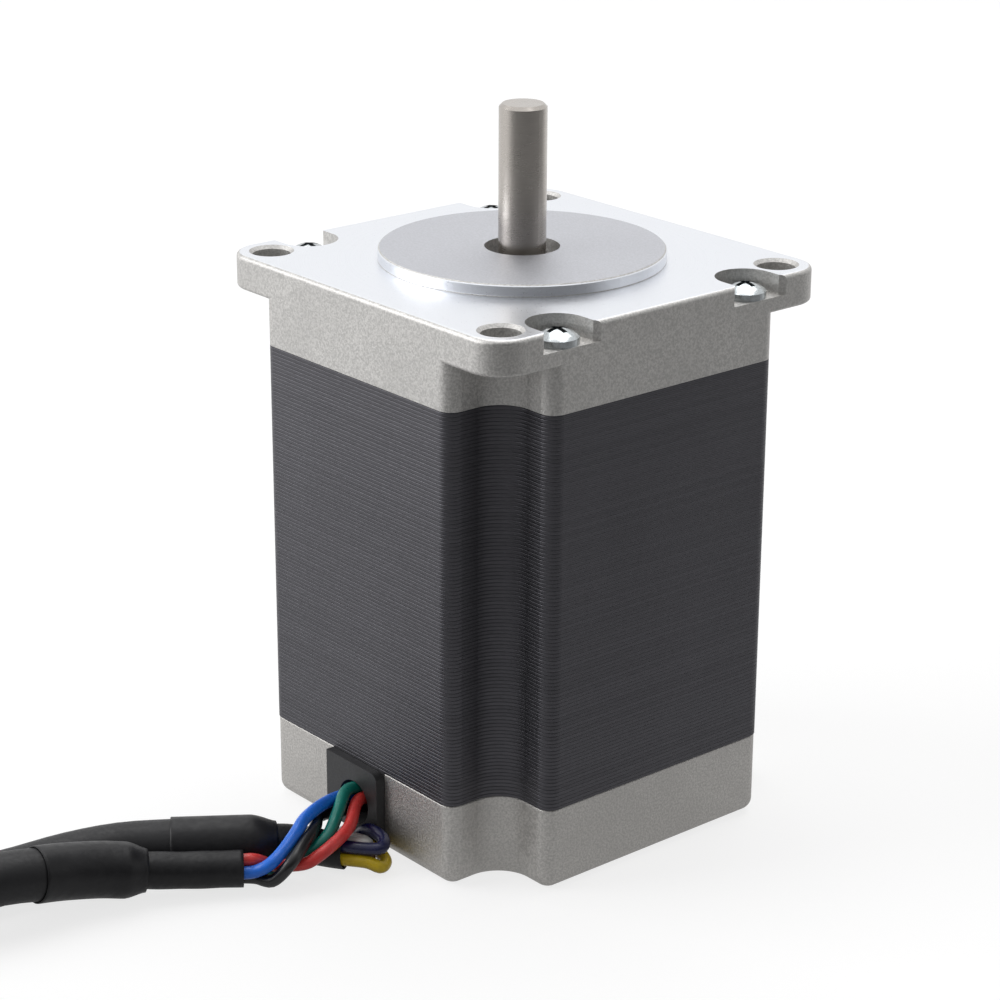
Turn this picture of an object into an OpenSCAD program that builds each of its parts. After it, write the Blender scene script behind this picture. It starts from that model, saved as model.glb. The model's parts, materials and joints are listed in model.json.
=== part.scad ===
// Hybrid stepper motor with a 56.4 mm square frame, a round shaft and two four-lead cables.
// The origin is the centre of the mounting flange's face. The shaft points along +Z, and the
// leads leave through the wall that faces -Y.

/* [Body] */
// Width of the square body
body_w = 56.4; // [55.6:0.2:58]
// Length from the flange face to the rear face
body_len = 76; // [66:1:100]
// Height of the front cap, with its flange
front_cap_h = 10.9; // [10.4:0.1:12.4]
// Height of the rear cap
rear_cap_h = 11.6; // [11.4:0.1:12.6]
// Thickness of the mounting flange
flange_t = 4.7; // [4:0.1:5.6]
// Radius of the flange's corners
flange_corner_r = 4.6; // [3.6:0.1:6]
// Distance of a mounting hole's centre from the sides
hole_edge = 4.63; // [4.5:0.01:4.9]
// Diameter of a mounting hole
hole_d = 5.1; // [4.5:0.1:5.5]
// Radius of the relief under each mounting hole
relief_r = 4.27; // [4:0.01:4.4]
// Radius of the lips on both sides of a relief
lip_r = 2; // [1.9:0.05:2.2]
// Diameter of the round pilot
pilot_d = 38.1; // [36:0.1:40]
// Height of the pilot
pilot_h = 1.6; // [1:0.1:2.4]
// Bore of the pilot round the shaft
pilot_bore_d = 10; // [9:0.2:12]

/* [Shaft] */
// Diameter of the output shaft and of the bearing seats
shaft_d = 6.35; // [6.2:0.01:6.5]
// Length of the shaft beyond the flange face
shaft_out = 20.6; // [16:0.1:30]
// Diameter of the shaft between the bearings
shaft_core_d = 8; // [7.8:0.1:8.6]

/* [Magnetic circuit] */
// Gap between the rotor and the stator teeth
air_gap = 0.3; // [0.15:0.01:0.4]
// Depth of the rotor and stator teeth
tooth_depth = 0.8; // [0.5:0.05:1]
// Share of the room between two poles' middles that the pole's own iron takes, the winding has the rest
pole_share = 0.508; // [0.46:0.002:0.54]
// Least thickness of the stator's yoke, between a slot and the side
yoke_t = 3.9; // [3.6:0.05:4.1]
// Depth of a winding, along its pole
winding_depth = 3.5; // [3:0.05:3.7]
// Thickness of a rotor magnet
magnet_t = 4; // [3:0.1:6]
// Gap between the rims of two cups
cup_gap = 2; // [1:0.1:2.8]

/* [Bearings] */
// Outer diameter of a bearing
bearing_od = 15.875; // [15.6:0.025:16.2]
// Width of a bearing
bearing_w = 4.978; // [4.8:0.01:5.1]
// Diameter of a bearing ball
ball_d = 2.381; // [2.3:0.01:2.45]

/* [Fasteners] */
// Diameter of a through screw
screw_d = 3; // [2.6:0.1:3.1]
// Diameter of a screw head
head_d = 5.5; // [5:0.1:6]
// Height of a screw head
head_h = 1.95; // [1.6:0.05:2.1]
// Depth of a screw pocket below the flange face
pocket_depth = 2.6; // [2.4:0.1:3]

/* [Leads] */
// Width of the lead grommet
grommet_w = 11; // [10.4:0.1:11.6]
// How far the grommet stands proud of the body
grommet_proud = 1.4; // [0.8:0.1:1.6]
// Diameter of one insulated lead
lead_d = 1.7; // [1.5:0.02:1.72]
// Diameter of a cable jacket
jacket_d = 6.8; // [6.4:0.05:6.84]

/* [Hidden] */
$fn = 96;

// Levels along the axis
floor_z = -body_len;
seam_front = -front_cap_h;
seam_rear = floor_z + rear_cap_h;
stack_len = seam_front - seam_rear;
overrun = 1;

// Body outline
half_w = body_w / 2;
slot_r = half_w - yoke_t;
hole_c = half_w - hole_edge;
wall_c = hole_c - relief_r;
hole_rim_w = 0.45;
hole_rim_d = hole_d + 2 * hole_rim_w;
flange_top_r = 0.6;
flange_bottom_r = 0.5;
rear_inset = 0.12;
rear_edge_r = 1.8;
rear_chamfer = 0.25;
pilot_chamfer = 0.25;

// Screws and their pockets
screw_edge = 2.8;
screw_side = 3.2;
screw_x = half_w - screw_edge;
screw_y = wall_c - screw_side;
pocket_r = 4;
pocket_flare = 0.7;
screw_clearance = 0.2;
thread_clearance = 0.02;
screw_tip_gap = 0.9;
screw_end_wall = 2.5;
recess_w = 0.7;
recess_len = 3;
recess_depth = 1.1;
dome_share = 0.55;

// Cavities and bearing seats
cavity_step = 1.7;
cavity_r = slot_r + cavity_step;
front_web = 5.1;
rear_floor = 3;
seat_clearance = 0.01;
seat_wall = 3;
seat_lip = 0.9;
front_seat_z = -seat_lip;
rear_seat_floor = 2.4;
washer_gap = 1.02;
rear_bearing_z = floor_z + rear_seat_floor + washer_gap;
front_bearing_z = front_seat_z - bearing_w;
boss_over = 0.8;

// Shaft
shaft_chamfer = 0.45;
shaft_groove_w = 0.8;
shaft_groove_t = 0.3;
shaft_end_gap = 1.4;

// Radial build of a pole, from the slots' outer wall inwards to the rotor
shoe_t = 1.7;
winding_in_gap = 1.1;
winding_out_gap = 1.7;
winding_in_r = slot_r - winding_out_gap - winding_depth;
shoe_r = winding_in_r - winding_in_gap;
stator_bore_r = shoe_r - shoe_t;
rotor_r = stator_bore_r - air_gap;

// Rotor
rotor_teeth = 50;
rotor_inset = 0.25;
spacer_t = 1;
rotor_len = stack_len - 2 * rotor_inset;
section_len = (rotor_len - spacer_t) / 2;
cup_len = (section_len - cup_gap) / 2;
tooth_pitch = 360 / rotor_teeth;
tooth_share = 0.4;
tooth_root_share = 0.54;
bore_fit = 0.02;
magnet_inset = 3;
magnet_r = rotor_r - magnet_inset;
magnet_recess = (magnet_t - cup_gap) / 2;

// Stator
pole_count = 8;
teeth_per_pole = 6;
shoe_tip_t = 1.1;
shoe_angle = (teeth_per_pole - 1) * tooth_pitch / 2 + tooth_share * tooth_pitch / 2;
shoulder_rise_share = 1 / 3;

// Insulators and windings
cover_t = 1;
liner_t = 0.5;
liner_gap = 0.05;
insulator_wall_h = 2.4;
insulator_wall_t = 0.8;
wall_inset = 0.35;
shoe_cover_w = 10.6;
shoe_wall_w = 9.4;
outer_wall_w = 9;
liner_end_gap = 0.3;
liner_front_share = 0.3;
liner_back_share = 0.25;
cover_out_gap = 0.9;
cover_out_r = cavity_r - cover_out_gap;
winding_gap = 0.1;
winding_end_t = 2.3;
winding_neighbour_gap = 0.96;
pole_cover_t = liner_gap + liner_t + winding_gap;
pole_room = winding_in_r * tan(180 / pole_count) - winding_neighbour_gap - pole_cover_t;
pole_w = 2 * pole_share * pole_room;
winding_bore_w = pole_w + 2 * pole_cover_t;
winding_side_t = (1 - pole_share) * pole_room;
winding_corner_r = 2;

// Bearings
ball_count = 7;
ball_pitch_r = (shaft_d + bearing_od) / 4;
land_share = 0.38;
groove_share = 0.52;
inner_land_r = ball_pitch_r - land_share * ball_d;
outer_land_r = ball_pitch_r + land_share * ball_d;
ring_chamfer = 0.25;
shield_t = 0.25;
shield_inset = 0.08;
shield_gap = 0.2;
shield_seat = 0.38;
cage_half_t = 0.5;
cage_back = 1.35;
cage_front = 0.35;
pocket_gap = 0.06;

// Wave washer
washer_t = 0.3;
washer_wave = 0.22;
washer_waves = 3;
washer_steps = 36;
washer_in_gap = 1.9;
washer_out_gap = 0.3;
washer_in_r = shaft_d / 2 + washer_in_gap;
washer_out_r = bearing_od / 2 - washer_out_gap;

// Lead grommet and lead board
lead_gap = 1.9;
slot_back_over = 0.3;
grommet_gap = 0.05;
grommet_top_r = 1.2;
grommet_hole_r = 3.1;
grommet_hole_x = 0.5;
grommet_hole_rise = 5.9;
grommet_hole_z = floor_z + grommet_hole_rise;
tongue_w = 0.8;
tongue_t = 1;
tongue_inset = 1.2;
channel_in = 8;
channel_from = -2.3;
board_t = 1;
board_rim = 0.3;
board_r = slot_r + board_rim;
board_in_r = 12.5;
board_gap = 0.05;
board_z = seam_rear - cover_t - insulator_wall_h - board_gap;

// Cables
lead_r = lead_d / 2;
jacket_r = jacket_d / 2;
bundle_r = 1.25;
sleeve_r = 2.45;
sleeve_bore_r = 2.27;
shrink_r = 3.68;
shrink_neck_r = 2.85;
shrink_shoulder_r = 3.45;
shrink_bore_r = 2.5;
shrink_jacket_bore_r = 3.46;
lead_sides = 8;
jacket_sides = 12;
shoulder_share = 0.35;

// Coils: the second cable's coil lies on the first one's, and two ties hold both
tie_t = 0.5;
tie_w = 4;
tie_gap = 0.1;
tie_side_gap = 0.4;
tie_head = [5.2, 4.2, 4];
front_tie_angle = 135;
rear_tie_angle = 60;
stack_gap = 0.2;
front_coil_z = floor_z + tie_t + tie_gap / 2 + jacket_r;
rear_coil_z = front_coil_z + 2 * jacket_r + stack_gap;
coil_r = 41;
coil_pitch = 7.8;
coil_turns = 1.55;
loop_rings = 24;
loop_sides = 6;
coil_c = [16, -144];
coil_start = 180;
tail_len = 4;

// Flying leads at the far ends: side towards the coil's middle, level, radius, droop and swept angle
front_fan = [[1, -1, 13, 8, 100], [1, 1, 17, 5, 82], [-1, 1, 21, 4, 68], [-1, -1, 26, 5, 56]];
rear_fan = [[1, -1, 13, 28, 100], [1, 1, 17, 19, 82], [-1, 1, 21, 15, 68], [-1, -1, 26, 14, 56]];
tip_r = 0.5;
tip_len = 6;

// Route of the first cable, from the mouth of its wire sleeve to its coil
front_route = [
  [2.2, -48.8, -72.9], [0.2, -51.9, -72.8], [-2, -55.5, -72.6], [-4.3, -59.5, -72.2], [-5.6, -62.1, -71.8],
  [-6.6, -64.9, -71.2], [-7.7, -70.2, -70.2], [-8, -73.6, -69.6], [-9, -78, -69.1], [-11, -90, -70],
  [-16, -104, -71.3], [-21, -118, -72], [-24.2, -132, -72.05]
];
front_shrink_at = 3;
front_jacket_at = 4;
front_shrink_end = 7;

// Route of the second cable
rear_route = [
  [5.82, -34.96, -73.5], [4.15, -36.15, -73.53], [1.9, -37.8, -73.3], [0.1, -39.8, -72.9], [-0.7, -41.6, -72.6],
  [-2.3, -44.6, -72.3], [-5.2, -48.6, -72.3], [-8.3, -52.9, -72.3], [-12.1, -58.4, -72.5], [-14, -65, -72.5],
  [-15.1, -74.6, -72.5], [-17.5, -85, -72.3], [-20.8, -95, -71.6], [-24.3, -105, -70.3], [-26.8, -115, -68.3],
  [-27.6, -125, -66.4], [-26.4, -135, -65.2]
];
rear_shrink_at = 4;
rear_jacket_at = 5;
rear_shrink_end = 7;

function unit(v) = v / norm(v);
function heading(p, i) = unit(p[min(i + 1, len(p) - 1)] - p[max(i - 1, 0)]);
function side(t) = unit(cross(t, [0, 0, 1]));
function polar(r, a) = [r * cos(a), r * sin(a)];
// A station is a point, the direction of travel there and the radius
function stations(p, a, b, r) = [for (i = [a:b]) [p[i], heading(p, i), r]];
function ring(s, n) =
  let (u = side(s[1]), v = cross(u, s[1]))
  [for (k = [0:n - 1]) s[0] + s[2] * (cos(360 * k / n) * u + sin(360 * k / n) * v)];
function skin(m, n, first, flip) = [
  for (i = [0:m - 2]) for (k = [0:n - 1])
    let (a = first + i * n + k, b = first + i * n + (k + 1) % n)
    each flip ? [[a, b + n, b], [a, a + n, b + n]] : [[a, b, b + n], [a, b + n, a + n]]
];

// Solid tube through a list of stations
module tube(st, n) {
  m = len(st);
  fan_start = [for (k = [1:n - 2]) [0, k + 1, k]];
  fan_end = [for (k = [1:n - 2]) (m - 1) * n * [1, 1, 1] + [0, k, k + 1]];
  polyhedron([for (s = st) each ring(s, n)], concat(skin(m, n, 0, false), fan_start, fan_end));
}

// Hollow tube between outer and inner stations that share their two ends
module pipe(outer, inner, n) {
  m = len(outer);
  q = len(inner);
  base = m * n;
  ends = [
    for (k = [0:n - 1])
      let (j = (k + 1) % n, e = (m - 1) * n, f = base + (q - 1) * n)
      each [[k, base + k, base + j], [k, base + j, j], [e + k, f + j, f + k], [e + k, e + j, f + j]]
  ];
  polyhedron(
    concat([for (s = outer) each ring(s, n)], [for (s = inner) each ring(s, n)]),
    concat(skin(m, n, 0, false), skin(q, n, base, true), ends)
  );
}

module rounded_square(w, h, r) {
  square([w - 2 * r, h], center = true);
  square([w, h - 2 * r], center = true);
  for (x = [-1, 1]) for (y = [-1, 1]) translate([x * (w / 2 - r), y * (h / 2 - r)]) circle(r);
}

// Filled profile from an axis to a wall at r, with its top and bottom edge rounded
module edge_profile(r, t, top, bottom) {
  square([r - top, t]);
  translate([0, bottom]) square([r, t - top - bottom]);
  translate([r - top, t - top]) circle(top);
  square([r - bottom, bottom]);
  translate([r - bottom, bottom]) circle(bottom);
}

// Square slab with round corners and round edges
module rounded_slab(w, r, t, top, bottom) {
  c = w / 2 - r;
  translate([-c, -c, 0]) cube([2 * c, 2 * c, t]);
  for (a = [0:90:270]) rotate(a) translate([c, c, 0]) {
    rotate_extrude(angle = 90) edge_profile(r, t, top, bottom);
    rotate([90, 0, 0]) linear_extrude(2 * c) edge_profile(r, t, top, bottom);
  }
}

// The square with a relief in each corner, round the mounting holes, moved inwards by inset
module body_outline(w, inset) {
  h = w / 2 - inset;
  wall = wall_c - inset;
  lip = lip_r - inset;
  difference() {
    square(2 * h, center = true);
    for (a = [0:90:270]) rotate(a) {
      translate([hole_c, hole_c]) circle(relief_r + inset);
      translate([wall, hole_c]) square(h);
      translate([hole_c, wall]) square(h);
      for (m = [0, 1]) mirror([m, -m]) difference() {
        translate([wall - lip, h - lip]) square(2 * lip);
        translate([wall - lip, h - lip]) circle(lip);
      }
    }
  }
}

// A band of width e round the body outline, whose profile is the child
module edge_band(w, e) {
  h = w / 2;
  for (a = [0:90:270]) rotate(a) {
    translate([h - e, wall_c - lip_r, 0]) rotate([90, 0, 0])
      linear_extrude(2 * (wall_c - lip_r)) children();
    translate([hole_c, hole_c, 0]) rotate(180)
      rotate_extrude(angle = 90) translate([relief_r + e, 0]) mirror([1, 0]) children();
    for (m = [0, 1]) mirror([m, -m, 0]) {
      translate([wall_c - e, h - lip_r, 0]) rotate([90, 0, 0])
        linear_extrude(h - lip_r - hole_c) children();
      translate([wall_c - lip_r, h - lip_r, 0]) rotate_extrude(angle = 90) {
        square([lip_r - e, e]);
        translate([lip_r - e, 0]) children();
      }
    }
  }
}

module at_screws() {
  for (x = [-1, 1]) for (y = [-1, 1])
    translate([x * screw_x, y * screw_y, 0]) rotate(x > 0 ? 0 : 180) children();
}

module at_holes() {
  for (x = [-1, 1]) for (y = [-1, 1]) translate([x * hole_c, y * hole_c, 0]) children();
}

// Recess for a screw head, open to the side of the cap, with flared lips
module screw_pocket() {
  translate([0, 0, -pocket_depth]) linear_extrude(pocket_depth + overrun) {
    circle(pocket_r);
    translate([0, -pocket_r]) square([screw_edge + overrun, 2 * pocket_r]);
    polygon([
      [screw_edge - pocket_flare, pocket_r], [screw_edge + overrun, pocket_r + pocket_flare + overrun],
      [screw_edge + overrun, -pocket_r - pocket_flare - overrun], [screw_edge - pocket_flare, -pocket_r]
    ]);
  }
}

module front_cap() color([0.78, 0.77, 0.76]) difference() {
  union() {
    translate([0, 0, -flange_t])
      rounded_slab(body_w, flange_corner_r, flange_t, flange_top_r, flange_bottom_r);
    translate([0, 0, seam_front]) linear_extrude(front_cap_h - flange_t / 2) body_outline(body_w, 0);
    translate([0, 0, -flange_t / 2]) cylinder(d = pilot_d, h = flange_t / 2 + pilot_h - pilot_chamfer);
    translate([0, 0, pilot_h - pilot_chamfer])
      cylinder(d1 = pilot_d, d2 = pilot_d - 2 * pilot_chamfer, h = pilot_chamfer);
  }
  at_holes() {
    translate([0, 0, seam_front - overrun]) cylinder(d = hole_d, h = front_cap_h + 2 * overrun);
    translate([0, 0, -hole_rim_w])
      cylinder(d1 = hole_d, d2 = hole_d + 4 * hole_rim_w, h = 2 * hole_rim_w);
  }
  at_screws() {
    screw_pocket();
    translate([0, 0, seam_front - overrun]) cylinder(d = screw_d + 2 * screw_clearance, h = front_cap_h);
  }
  translate([0, 0, seam_front - overrun]) cylinder(d = pilot_bore_d, h = front_cap_h + pilot_h + 2 * overrun);
  translate([0, 0, seam_front - overrun])
    cylinder(r = bearing_od / 2 + seat_clearance, h = front_cap_h + overrun - seat_lip);
  translate([0, 0, seam_front - overrun]) difference() {
    cylinder(r = cavity_r, h = front_cap_h - front_web + overrun);
    translate([0, 0, front_bearing_z - boss_over - seam_front + overrun])
      cylinder(r = bearing_od / 2 + seat_wall, h = front_cap_h);
  }
}

module quarter_round(e) intersection() {
  translate([0, e]) circle(e);
  square(e);
}

module lead_slot_profile(w, h, r) {
  translate([-w / 2, 0]) square([w - r, h]);
  translate([-w / 2, 0]) square([w, h - r]);
  translate([w / 2 - r, h - r]) circle(r);
}

module rear_cap() color([0.72, 0.71, 0.70]) {
  w = body_w - 2 * rear_inset;
  difference() {
    union() {
      translate([0, 0, floor_z]) linear_extrude(rear_edge_r) body_outline(w, rear_edge_r);
      translate([0, 0, floor_z]) edge_band(w, rear_edge_r) quarter_round(rear_edge_r);
      translate([0, 0, floor_z + rear_edge_r])
        linear_extrude(rear_cap_h - rear_edge_r - rear_chamfer) body_outline(w, 0);
      translate([0, 0, seam_rear - rear_chamfer]) linear_extrude(rear_chamfer) body_outline(w, rear_chamfer);
      translate([0, 0, seam_rear - rear_chamfer])
        edge_band(w, rear_chamfer) polygon([[0, 0], [rear_chamfer, 0], [0, rear_chamfer]]);
    }
    difference() {
      translate([0, 0, floor_z + rear_floor]) cylinder(r = cavity_r, h = rear_cap_h);
      translate([0, 0, floor_z]) cylinder(r = bearing_od / 2 + seat_wall, h = rear_boss_h());
    }
    translate([0, 0, floor_z + rear_seat_floor])
      cylinder(r = bearing_od / 2 + seat_clearance, h = rear_cap_h);
    at_screws() translate([0, 0, floor_z + screw_end_wall])
      cylinder(d = screw_d + 2 * thread_clearance, h = rear_cap_h);
    translate([-grommet_w / 2, -half_w - overrun, floor_z - overrun])
      cube([grommet_w, half_w + overrun - grommet_back() + slot_back_over, rear_cap_h + 2 * overrun]);
    translate([0, -half_w + tongue_inset - grommet_gap, floor_z + lead_gap])
      translate([-grommet_w / 2 - tongue_w - grommet_gap, 0, 0])
      cube([grommet_w + 2 * (tongue_w + grommet_gap), tongue_t + 2 * grommet_gap, rear_cap_h]);
    translate([channel_from, -half_w - overrun, floor_z - overrun])
      cube([grommet_w / 2 - channel_from, channel_in + overrun, rear_floor + 2 * overrun]);
  }
}

function rear_boss_h() = rear_seat_floor + washer_gap + bearing_w + boss_over;
function grommet_back() = sqrt(cavity_r * cavity_r - grommet_w * grommet_w / 4);

// Outline of the slots and the toothed bore between the middles of two slots
function pole_points(a0) = [
  let (half = 180 / pole_count, step = (half - pole_edge_angle()) / 3)
  for (p = concat(
    [for (k = [0:3]) polar(slot_r, k * step - half)],
    [[pole_shoulder_x(), -pole_w / 2], polar(stator_bore_r + shoe_tip_t, -shoe_angle)],
    [for (t = [0:teeth_per_pole - 1]) each tooth_points((t - (teeth_per_pole - 1) / 2) * tooth_pitch)],
    [polar(stator_bore_r + shoe_tip_t, shoe_angle), [pole_shoulder_x(), pole_w / 2]],
    [for (k = [0:2]) polar(slot_r, pole_edge_angle() + k * step)]
  )) [p[0] * cos(a0) - p[1] * sin(a0), p[0] * sin(a0) + p[1] * cos(a0)]
];
function pole_edge_angle() = asin(pole_w / 2 / slot_r);
function pole_shoulder_x() = shoe_r + shoulder_rise_share * shoe_t;
function tooth_points(a) =
  let (g = tooth_share * tooth_pitch / 2, d = tooth_pitch / 2)
  [
    if (a > -shoe_angle + 2 * g) polar(stator_bore_r + tooth_depth, a - d + g / 2),
    if (a > -shoe_angle + 2 * g) polar(stator_bore_r + tooth_depth, a - g),
    polar(stator_bore_r, a - g),
    polar(stator_bore_r, a + g),
    if (a < shoe_angle - 2 * g) polar(stator_bore_r + tooth_depth, a + g)
  ];

module stator_stack() color([0.2, 0.2, 0.21])
  translate([0, 0, seam_rear]) linear_extrude(stack_len) difference() {
    body_outline(body_w, 0);
    polygon([for (k = [0:pole_count - 1]) each pole_points(k * 360 / pole_count)]);
    at_screws() circle(d = screw_d + 2 * screw_clearance);
  }

// One insulator, with its cover on z = 0 and its slot liners pointing down
module insulator() {
  cover_w = pole_w + 2 * (liner_gap + liner_t);
  leg_x = shoe_r + liner_front_share * shoe_t;
  leg_len = slot_r - liner_back_share * shoe_t - leg_x - liner_t;
  linear_extrude(cover_t) {
    difference() {
      circle(cover_out_r);
      circle(slot_r - liner_t);
    }
    for (k = [0:pole_count - 1]) rotate(k * 360 / pole_count) {
      translate([shoe_r - liner_t, -cover_w / 2]) square([slot_r - shoe_r, cover_w]);
      intersection() {
        difference() {
          circle(shoe_r);
          circle(stator_bore_r + liner_t);
        }
        translate([0, -shoe_cover_w / 2]) square([shoe_r, shoe_cover_w]);
      }
    }
  }
  for (k = [0:pole_count - 1]) rotate(k * 360 / pole_count) {
    translate([shoe_r - insulator_wall_t - wall_inset, -shoe_wall_w / 2, cover_t / 2])
      cube([insulator_wall_t, shoe_wall_w, cover_t / 2 + insulator_wall_h]);
    translate([slot_r, -outer_wall_w / 2, cover_t / 2])
      cube([insulator_wall_t, outer_wall_w, cover_t / 2 + insulator_wall_h]);
    for (s = [-1, 1])
      translate([leg_x, s * (cover_w - liner_t - liner_gap) / 2 - liner_t / 2, liner_end_gap - stack_len / 2])
        cube([leg_len, liner_t, stack_len / 2 - liner_end_gap + cover_t / 2]);
  }
}

module front_insulator() color([0.93, 0.92, 0.88]) translate([0, 0, seam_front]) insulator();
module rear_insulator() color([0.93, 0.92, 0.88]) translate([0, 0, seam_rear]) mirror([0, 0, 1]) insulator();

// One winding round a pole, a ring of wire with round corners
module winding(k) color([0.72, 0.36, 0.16]) rotate(k * 360 / pole_count)
  translate([winding_in_r, 0, (seam_front + seam_rear) / 2]) rotate([90, 0, 90]) linear_extrude(winding_depth)
    difference() {
      w = winding_bore_w;
      h = stack_len + 2 * (cover_t + winding_gap);
      rounded_square(w + 2 * winding_side_t, h + 2 * winding_end_t, winding_corner_r);
      square([w, h], center = true);
    }

module shaft() color([0.75, 0.75, 0.77]) {
  r = shaft_d / 2;
  c = shaft_chamfer;
  t = shaft_groove_t;
  groove = front_bearing_z + bearing_w;
  rear = floor_z + rear_seat_floor + shaft_end_gap;
  rotate_extrude() polygon([
    [0, rear], [r - c, rear], [r, rear + c], [r, rear_bearing_z + bearing_w],
    [shaft_core_d / 2, rear_bearing_z + bearing_w], [shaft_core_d / 2, front_bearing_z], [r, front_bearing_z],
    [r, groove], [r - t, groove], [r - t, groove + shaft_groove_w], [r, groove + shaft_groove_w],
    [r, shaft_out - c], [r - c, shaft_out], [0, shaft_out]
  ]);
}

// Toothed cup of the rotor, open towards the magnet at z = 0, turned by phase
module rotor_cup(phase) color([0.45, 0.45, 0.47]) difference() {
  r = rotor_r;
  tip = tooth_share * tooth_pitch / 2;
  root = tooth_root_share * tooth_pitch / 2;
  linear_extrude(cup_len) polygon([
    for (t = [0:rotor_teeth - 1]) let (a = t * tooth_pitch + phase)
      each [
        polar(r - tooth_depth, a - root), polar(r, a - tip),
        polar(r, a + tip), polar(r - tooth_depth, a + root)
      ]
  ]);
  translate([0, 0, -overrun]) cylinder(r = shaft_core_d / 2 + bore_fit, h = cup_len + 2 * overrun);
  translate([0, 0, -overrun]) cylinder(r = magnet_r + bore_fit, h = magnet_recess + overrun);
}

function cup_mouth(section) = seam_front - rotor_inset - cup_len - section * (section_len + spacer_t);

module rotor_cup_up(section) translate([0, 0, cup_mouth(section)]) rotor_cup(0);
module rotor_cup_down(section)
  translate([0, 0, cup_mouth(section) - cup_gap]) mirror([0, 0, 1]) rotor_cup(tooth_pitch / 2);

module magnet(section) color([0.35, 0.34, 0.33])
  translate([0, 0, cup_mouth(section) + magnet_recess - magnet_t]) difference() {
    cylinder(r = magnet_r, h = magnet_t);
    translate([0, 0, -overrun]) cylinder(r = shaft_core_d / 2 + bore_fit, h = magnet_t + 2 * overrun);
  }

module rotor_spacer() color([0.8, 0.8, 0.82])
  translate([0, 0, seam_front - rotor_inset - section_len - spacer_t]) difference() {
    cylinder(r = magnet_r, h = spacer_t);
    translate([0, 0, -overrun]) cylinder(r = shaft_core_d / 2 + bore_fit, h = spacer_t + 2 * overrun);
  }

// Bearing parts stand on z = 0 and reach up to bearing_w
module ball_groove() translate([ball_pitch_r, bearing_w / 2]) circle(groove_share * ball_d);

module outer_ring() color([0.8, 0.8, 0.83]) rotate_extrude() difference() {
  c = ring_chamfer;
  r = bearing_od / 2;
  polygon([
    [outer_land_r, 0], [r - c, 0], [r, c], [r, bearing_w - c], [r - c, bearing_w], [outer_land_r, bearing_w]
  ]);
  ball_groove();
  for (z = [-overrun, bearing_w - shield_seat]) translate([outer_land_r - overrun, z])
    square([overrun + shield_seat, z < 0 ? overrun + shield_seat : shield_seat + overrun]);
}

module inner_ring() color([0.8, 0.8, 0.83]) rotate_extrude() difference() {
  c = ring_chamfer;
  r = shaft_d / 2 + seat_clearance;
  polygon([
    [r, c], [r + c, 0], [inner_land_r, 0], [inner_land_r, bearing_w], [r + c, bearing_w], [r, bearing_w - c]
  ]);
  ball_groove();
}

module balls() color([0.9, 0.9, 0.92]) for (k = [0:ball_count - 1]) rotate(k * 360 / ball_count)
  translate([ball_pitch_r, 0, bearing_w / 2]) sphere(d = ball_d);

module cage() color([0.7, 0.6, 0.35]) difference() {
  translate([0, 0, bearing_w / 2 - cage_back]) rotate_extrude()
    translate([ball_pitch_r - cage_half_t, 0]) square([2 * cage_half_t, cage_back + cage_front]);
  for (k = [0:ball_count - 1]) rotate(k * 360 / ball_count)
    translate([ball_pitch_r, 0, bearing_w / 2]) sphere(r = ball_d / 2 + pocket_gap);
}

module shields() color([0.6, 0.6, 0.62]) for (z = [shield_inset, bearing_w - shield_inset - shield_t])
  translate([0, 0, z]) rotate_extrude()
    translate([inner_land_r + shield_gap, 0])
      square([outer_land_r + shield_seat - inner_land_r - shield_gap - bore_fit, shield_t]);

module at_front_bearing() translate([0, 0, front_bearing_z]) children();
module at_rear_bearing() translate([0, 0, rear_bearing_z]) children();

module wave_washer() color([0.65, 0.65, 0.68]) {
  n = washer_steps;
  mid = floor_z + rear_seat_floor + washer_gap / 2;
  points = [
    for (k = [0:n - 1]) let (a = 360 * k / n, w = mid + washer_wave * sin(washer_waves * a))
      for (p = [[washer_in_r, -1], [washer_out_r, -1], [washer_out_r, 1], [washer_in_r, 1]])
        [p[0] * cos(a), p[0] * sin(a), w + p[1] * washer_t / 2]
  ];
  polyhedron(points, [
    for (k = [0:n - 1]) for (e = [0:3])
      let (j = (k + 1) % n, f = (e + 1) % 4)
      each [[4 * k + e, 4 * j + f, 4 * k + f], [4 * k + e, 4 * j + e, 4 * j + f]]
  ]);
}

module pan_head() {
  dome_h = dome_share * head_h;
  dome_r = (head_d * head_d / 4 + dome_h * dome_h) / (2 * dome_h);
  difference() {
    rotate_extrude() intersection() {
      translate([0, head_h - dome_r]) circle(dome_r);
      square([head_d / 2, head_h]);
    }
    translate([0, 0, head_h - recess_depth]) linear_extrude(recess_depth + overrun) {
      square([recess_len, recess_w], center = true);
      square([recess_w, recess_len], center = true);
    }
  }
}

module through_screws() color([0.85, 0.86, 0.88]) at_screws() {
  tip = floor_z + screw_end_wall + screw_tip_gap;
  translate([0, 0, -pocket_depth]) pan_head();
  translate([0, 0, tip]) cylinder(d = screw_d, h = -pocket_depth - tip);
}

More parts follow.
